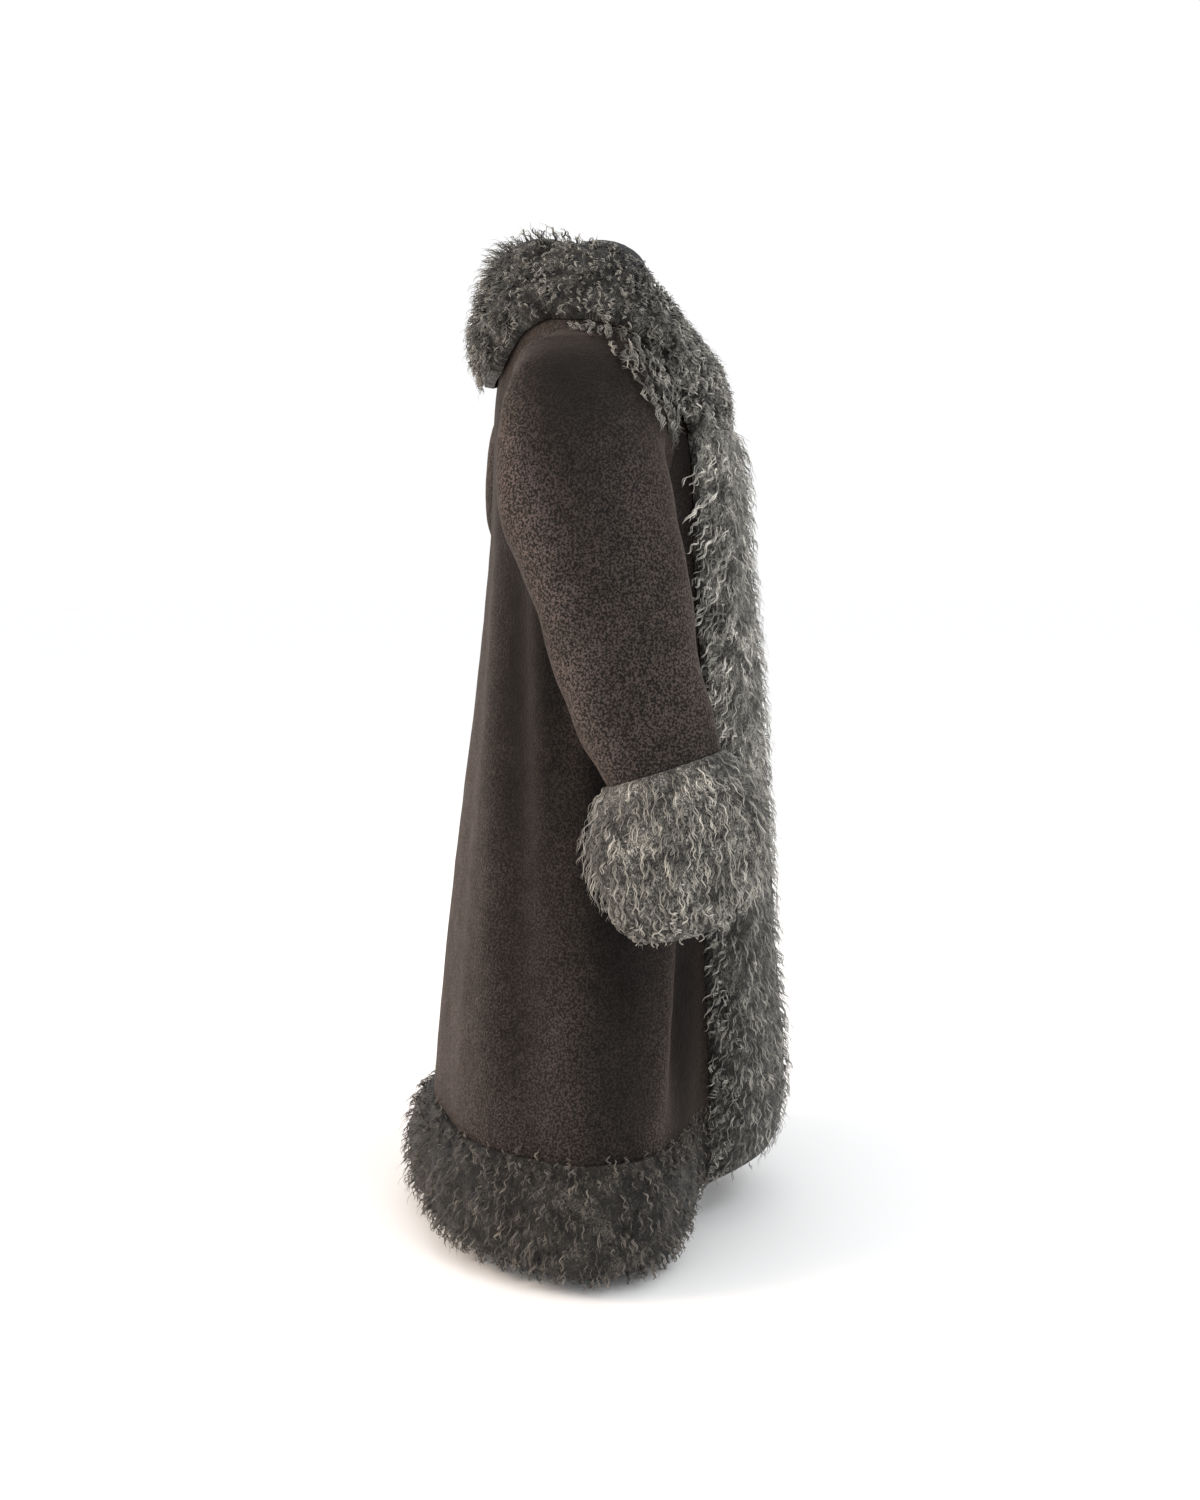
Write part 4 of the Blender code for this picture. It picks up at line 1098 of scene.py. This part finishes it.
clipped = {
    "shorter": lambda u, v: 1 - HEM_FRONT_CLIPPED * in_front(u, v),
    "curl": (0.0010, 0.0021),
}
full_seam = {"dense": lambda u, v: 1 + HEM_FRONT_DENSER * in_front(u, v)}
hem_upwards = part_of(hem_thinned, (0.0, 1.0), HEM_SEAM_SPAN)
hem_pelt = pelt_material("hem_roots", 0.48, BROWN_TAUPE, 0.60, HEM_BOUNCE_LIGHT)
hem_wool = wool_material(
    "hem_strands", 0.52, BROWN_TAUPE, (0.20, 0.162, 0.132), 0.60, HEM_BOUNCE_LIGHT
)
hem = pelt(
    "hem_pelt", hem_surface, (160, 12), (95.0, 9.0), hem_pelt, height=thinner_in_front
)
hem_locks = [
    ringlets("hem_curls", hem_thinned, 1060, CURLS | clipped, hem_wool, 11),
    ringlets("hem_wisps", hem_thinned, 260, WISPS | clipped, hem_wool, 12),
    ringlets("hem_edge", hem_thinned, 180, HANGING | clipped, hem_wool, 13),
    ringlets("hem_seam", hem_upwards, 310, SEAM_LOCKS | full_seam, hem_wool, 14),
]
dress(hem, "hem_band", hem_locks)

# ------------------------------------------------------------------ the front bands
# A wide strip of the paler pelt down each front edge, from under the lapel to the hem. Its
# wool is combed down, thrown back over the plush at the rear edge, and thrown over the
# opening at the front edge, where the two bands meet.
BAND_DEPTH, BAND_TOP = 0.038, 6.334
BAND_EDGES, BAND_ENDS = (0.35, 0.75), (0.85, 0.25)
LAID_RISE = 0.0030  # how far a laid trim's leather arches off the plush
WOOL_EDGE_GAP = 0.0012  # from its wool to the centre-front plane
# The bands' wool is darker towards the bottom.
BAND_LEVELS = (2, 0.34, 0.56, 0.48, 1.04)
GREY_TAUPE = (1.0, 0.955, 0.850)
COMBED = {"reach": (0.014, 0.026), "curl": (0.0010, 0.0020), "radius": (0.00035, 0.00065)}
SWEPT_LEAN, SWEPT_OVER = -1.1, 0.35  # of the locks from the rear edge to this share
REAR_SPAN, REAR_ENDS = (0.0, 0.25), (0.03, 0.97)  # where the rear locks are rooted
OPENING_SPAN = (0.84, 1.0)
OPENING_LOCKS = dict(HANGING, first=0.0, last=0.99, lean=even(1.1), droop=0.4)
REAR_LOCKS = dict(
    HANGING, first=0.0, last=1.0, reach=(0.018, 0.034), droop=0.5, lean=even(-1.5)
)
REAR_LONGER, REAR_LONGER_TO = 0.6, 0.2  # at the top, down to this share
REAR_SHORTER, REAR_SHORTER_FROM, REAR_SHORTER_OVER = 0.45, 0.5, 0.1


def band_surface(side):
    """Wool down a front edge: u runs from the rear edge to the front edge, v down."""

    def surface(u, v, share):
        level = BAND_TOP + (HEM_EDGE - BAND_TOP) * v
        rear = np.interp(level, BAND_EDGE[:, 0], BAND_EDGE[:, 1])
        front = 180 - angle_for(WOOL_EDGE_GAP, side * 180.0, level)
        angle = rear + (front - rear) * u
        lift = LAID_GAP + LAID_RISE * np.sin(np.pi * np.clip(u, 0, 1))
        full = BAND_DEPTH * rounded(u, *BAND_EDGES) * rounded(v, *BAND_ENDS)
        return off_coat(side * angle, level, lift + (full - lift) * share)

    return surface


def rear_length(u, v):
    """Longer at the top and shorter from half-way down."""
    longer = REAR_LONGER * ramp(REAR_LONGER_TO - v, REAR_LONGER_TO)
    return 1 + longer - REAR_SHORTER * ramp(v - REAR_SHORTER_FROM, REAR_SHORTER_OVER)


swept = {"lean": lambda u, v: SWEPT_LEAN * ramp(SWEPT_OVER - u, SWEPT_OVER)}
thrown = {"shorter": rear_length}
band_pelt = pelt_material("wool_roots", 2.8, GREY_TAUPE, 0.60, BAND_LEVELS)
band_wool = wool_material(
    "wool_strands", 2.7, GREY_TAUPE, (0.52, 0.497, 0.44), 0.60, BAND_LEVELS
)
for word, side in SIDES:
    surface, node = band_surface(side), f"front_band_{word}"
    rear, opening = part_of(surface, REAR_SPAN, REAR_ENDS), part_of(surface, OPENING_SPAN)
    strip = pelt(f"{node}_pelt", surface, (22, 90), (14.0, 60.0), band_pelt)
    curls = CURLS | COMBED | swept
    locks = [
        ringlets(f"{node}_curls", surface, 1120, curls, band_wool, 21 + side),
        ringlets(f"{node}_wisps", surface, 250, WISPS | swept, band_wool, 24 + side),
        ringlets(f"{node}_rear", rear, 170, REAR_LOCKS | thrown, band_wool, 27 + side),
        ringlets(f"{node}_opening", opening, 140, OPENING_LOCKS, band_wool, 54 + side),
    ]
    dress(strip, node, locks)

# ------------------------------------------------------------------ the collar
# A broad shawl of the same pelt round the neck, standing highest behind it, whose lapels
# fall down the chest. Its wool is combed outwards and hangs over the heads of the sleeves.
COLLAR_TOP = 9.98
COLLAR_EDGES = (0.62, 0.45)
COLLAR_FRONT_SPAN, COLLAR_FRONT_DEPTH = 8.0, 0.75  # degrees, and the share it thins to there
COLLAR_END_LEVEL = 8.0  # where its ends' distance from the centre-front plane is measured
LAPEL_REAR, LAPEL_SPREAD, LAPEL_RISE = 125.0, 5.0, 0.002  # its turned-back edge, in degrees
# The collar's wool is darker behind.
COLLAR_LEVELS = (1, -0.03, -0.13, 0.39, 1.0)
# The collar's wool, a row for each direction from centre back (0) to centre front (180):
# the level that its outer edge falls to, and its depth at the neck, middle and outer edge.
# Columns: angle, edge_level, neck, middle, edge
COLLAR = np.array(
    [
        (0.0, 7.10, 0.080, 0.054, 0.036),
        (20.0, 7.22, 0.080, 0.054, 0.036),
        (40.0, 7.94, 0.080, 0.052, 0.034),
        (60.0, 8.32, 0.078, 0.049, 0.032),
        (90.0, 8.32, 0.070, 0.045, 0.030),
        (108.0, 8.10, 0.052, 0.040, 0.034),
        (121.0, 7.76, 0.042, 0.036, 0.035),
        (130.0, 6.34, 0.036, 0.035, 0.041),
        (150.0, 6.34, 0.028, 0.028, 0.040),
        (180.0, 6.34, 0.026, 0.026, 0.038),
    ]
)


def collar_surface(u, v, share):
    """Wool of the shawl collar: u runs round from right front to left, v outwards."""
    end = 180 - float(angle_for(WOOL_EDGE_GAP, 180.0, COLLAR_END_LEVEL))
    angle = -end + 2 * end * u
    at = np.abs(angle)
    edge_level, neck, middle, edge = [
        np.interp(at, COLLAR[:, 0], COLLAR[:, column]) for column in range(1, 5)
    ]
    level = COLLAR_TOP + (edge_level - COLLAR_TOP) * v
    inner_half, outer_half = neck + (middle - neck) * v * 2, middle + (edge - middle) * (v * 2 - 1)
    inside = 1 - ramp(end - at, COLLAR_FRONT_SPAN)
    depth = np.where(v < 0.5, inner_half, outer_half) * rounded(v, *COLLAR_EDGES)
    depth = depth * (1 - (1 - COLLAR_FRONT_DEPTH) * inside**2)
    turned_back = np.exp(-0.5 * ((at - LAPEL_REAR) / LAPEL_SPREAD) ** 2)
    lift = LAID_GAP + LAID_RISE * np.sin(np.pi * np.clip(v, 0, 1)) + LAPEL_RISE * turned_back
    return off_coat(angle, level, lift + (depth - lift) * share)


# At the neck's edge, from the sides to the front, the pelt and its wool lie low.
NECK_LOW, NECK_LOW_OVER = 0.50, 0.18
NECK_SIDES_FROM, NECK_SIDES_OVER = 0.25, 0.2  # shares of the way from back to front
LOCKS_LOW, LOCKS_LOW_OVER, LOCKS_BEHIND = 0.85, 0.2, 0.75  # the last a share from the front
LOCKS_LIFT, LOCKS_LIFT_OVER, LOCKS_LIFT_FROM = 1.3, 0.3, 0.45
EDGE_DENSER, EDGE_DENSER_TO = 3.0, 0.4
TURN_OVER = 0.2


def flat_neck(u, v):
    """1 - 0.5 exp(-(v / 0.18)^2), but at the back of the neck 1."""
    sides = ramp(np.abs(2 * u - 1) - NECK_SIDES_FROM, NECK_SIDES_OVER)
    return 1 - NECK_LOW * np.exp(-((v / NECK_LOW_OVER) ** 2)) * sides


def collar_half(word, span, seed):
    """The locks of one half: to_back is how far round they are from the front's middle to
    the back's."""
    half = part_of(collar_surface, span)

    def to_back(u):
        return u if word == "right" else 1 - u

    risen = {
        "droop": 0.45,
        "flatter": lambda u, v: (
            1
            - LOCKS_LOW
            * np.exp(-((v / LOCKS_LOW_OVER) ** 2))
            * ramp(LOCKS_BEHIND - to_back(u), TURN_OVER)
        ),
        "lift": lambda u, v: (
            LOCKS_LIFT
            * ramp(LOCKS_LIFT_OVER - v, LOCKS_LIFT_OVER)
            * ramp(to_back(u) - LOCKS_LIFT_FROM, TURN_OVER)
        ),
    }
    denser = {"dense": lambda u, v: 1 + EDGE_DENSER * ramp(EDGE_DENSER_TO - to_back(u), TURN_OVER)}
    return [
        ringlets(f"collar_{word}_curls", half, 1050, CURLS | risen, collar_wool, seed),
        ringlets(f"collar_{word}_wisps", half, 250, WISPS | risen, collar_wool, seed + 4),
        ringlets(f"collar_{word}_edge", half, 185, HANGING | denser, collar_wool, seed + 6),
    ]


# The longest locks hang over the heads of the sleeves: how far off the plush they are rooted
# under the collar and at their last ring, and the sleeve's directions that they cover.
FRINGE_RISE, FRINGE_DEPTH, FRINGE_CLEAR = 0.031, 0.014, 0.001
FRINGE_FROM, FRINGE_TURN = 12.0, -100.0
# Columns: share of the way from the sleeve's outer line to its front, last ring with locks
FRINGE_END = np.array(
    [(0.0, 0.15), (0.12, 0.35), (0.27, 0.9), (0.33, 1.8), (0.57, 2.4), (0.72, 2.2), (1.0, 1.4)]
)
FRINGE = dict(
    CURLS,
    strands=4,
    points=9,
    last=1.0,
    root=0.20,
    stand=(0.3, 0.85),
    reach=(0.020, 0.040),
    curl=(0.0018, 0.0034),
    turns=(1.6, 2.6),
    bunch=0.0026,
    droop=0.65,
)


def sleeve_head(side):
    """The sleeve's outer face under the collar's longest locks: u runs from just behind
    its outer line to its front, v down, and share lifts off it."""

    def surface(u, v, share):
        end = np.interp(u, FRINGE_END[:, 0], FRINGE_END[:, 1])
        rise = FRINGE_RISE - (FRINGE_RISE - FRINGE_DEPTH) * np.clip(v, 0, 1)
        direction = FRINGE_FROM + FRINGE_TURN * u
        return sleeve_point(side, direction, v * end, FRINGE_CLEAR + rise * share)

    return surface


collar_pelt = pelt_material("collar_roots", 2.1, GREY_TAUPE, 0.92, COLLAR_LEVELS)
collar_wool = wool_material(
    "collar_strands", 2.0, GREY_TAUPE, (0.42, 0.40, 0.35), 0.92, COLLAR_LEVELS
)
shawl = pelt(
    "collar_pelt", collar_surface, (160, 18), (70.0, 14.0), collar_pelt, height=flat_neck
)
collar_locks = collar_half("right", (0.0, 0.5), 31) + collar_half("left", (0.5, 1.0), 32)
for word, side in reversed(SIDES):
    head, seed = sleeve_head(side), 34 + side
    fringe = ringlets(f"collar_{word}_fringe", head, 120, FRINGE, collar_wool, seed)
    collar_locks.append(fringe)
dress(shawl, "collar", collar_locks)

# ------------------------------------------------------------------ the cuffs
# A deep flared band of the palest wool round each wrist, set on the sleeve's end and open
# below, its locks fanned out and down and cut shorter at the lower edge.
CUFF_SHOULDER = 0.005
CUFF_GAP = 1.5 * SEAM_GAP
# The cuff's outer face and its inner wall, with the columns of the sleeve's rings
CUFF_OUTER = np.array(
    [
        (0.347, 0.5330, 0.246, 0.5270, 0.035, 0.132, 0.016),
        (0.356, 0.5040, 0.242, 0.5000, 0.044, 0.147, 0.012),
        (0.360, 0.4690, 0.241, 0.4670, 0.045, 0.150, 0.008),
        (0.361, 0.4350, 0.242, 0.4340, 0.032, 0.143, 0.010),
        (0.357, 0.4050, 0.246, 0.4050, 0.008, 0.124, 0.012),
        (0.347, 0.3850, 0.256, 0.3850, -0.012, 0.102, 0.010),
    ]
)
CUFF_INNER = np.array(
    [
        (0.3280, 0.5310, 0.2620, 0.5270, 0.013, 0.094, 0.015),
        (0.3300, 0.5030, 0.2640, 0.5010, 0.010, 0.098, 0.012),
        (0.3330, 0.4680, 0.2660, 0.4680, 0.008, 0.102, 0.009),
        (0.3350, 0.4340, 0.2660, 0.4340, 0.003, 0.104, 0.010),
        (0.3360, 0.4050, 0.2660, 0.4050, -0.004, 0.100, 0.012),
        (0.3350, 0.3850, 0.2670, 0.3850, -0.014, 0.096, 0.010),
    ]
)
CUFF_CUT, CUFF_CUT_FROM, CUFF_CUT_OVER = 0.50, 0.66, 0.2


def cuff_surface(side):
    """Wool of a cuff: u runs round it and v down; its rings are blended from those of its
    inner wall to those of its outer face."""
    inner_rows = np.concatenate([grown_ring(SLEEVE_RINGS[-1], -PLUSH_WALL)[None], CUFF_INNER])
    outer_rows = np.concatenate([grown_ring(SLEEVE_RINGS[-1], CUFF_SHOULDER)[None], CUFF_OUTER])

    def surface(u, v, share):
        place = np.asarray(v) * len(CUFF_OUTER)
        low, high = smooth_rows(inner_rows, place), smooth_rows(outer_rows, place)
        row = low + (high - low) * np.asarray(share)[..., None]
        point = oval_ring(side, 360.0 * u, row, len(SLEEVE_RINGS))
        point[..., 2] -= CUFF_GAP
        return point

    return surface


cut = {"shorter": lambda u, v: 1 - CUFF_CUT * ramp(v - CUFF_CUT_FROM, CUFF_CUT_OVER)}
cuff_pelt = pelt_material("cuff_roots", 2.3, GREY_TAUPE, 0.32)
cuff_wool = wool_material("cuff_strands", 2.1, GREY_TAUPE, (0.58, 0.55, 0.47), 0.32)
for word, side in SIDES:
    surface, node = cuff_surface(side), f"cuff_{word}"
    band = pelt(f"{node}_pelt", surface, (64, 14), (38.0, 12.0), cuff_pelt, ring=True)
    locks = [
        ringlets(f"{node}_curls", surface, 720, CURLS | COMBED | cut, cuff_wool, 41 + side),
        ringlets(f"{node}_wisps", surface, 120, WISPS | cut, cuff_wool, 44 + side),
        ringlets(f"{node}_edge", surface, 110, HANGING | cut, cuff_wool, 47 + side),
    ]
    dress(band, node, locks)

# ------------------------------------------------------------------ the dress form
# A limbless dress form holds the coat up: a trunk and a rounded neck cap covered in dark
# jersey, on a brushed steel pole and a flat round foot. These CAD solids stay as they are.
JERSEY = ((0.003, 0.003, 0.004, 1.0), (0.007, 0.007, 0.009, 1.0))
STEEL = (0.55, 0.55, 0.56, 1.0)
jersey, jersey_shader, start, place = new_material("form_jersey")
knit = start.node("ShaderNodeTexWave", {"wave_profile": "SIN"}, {"Vector": place, "Scale": 420.0})
values = {
    "Base Color": knit.mix(*JERSEY),
    "Roughness": 0.62,
    "Specular IOR Level": 0.3,
    "Normal": start.bump(knit, 0.25, 0.0004),
}
feed(jersey_shader, start, values)
steel, steel_shader, start, place = new_material("brushed_steel")
brushing = start.node("ShaderNodeMapping", {}, {"Vector": place, "Scale": (1.0, 1.0, 220.0)})
gleam = 0.24 + 0.20 * start.noise(brushing, 4.0, 3.0)
feed(steel_shader, start, {"Base Color": STEEL, "Metallic": 1.0, "Roughness": gleam})
for node, material in (
    (FORM, jersey),
    ("form_neck_cap", jersey),
    ("form_pole", steel),
    ("form_base", steel),
):
    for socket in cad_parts[node].material_slots:
        socket.material = material
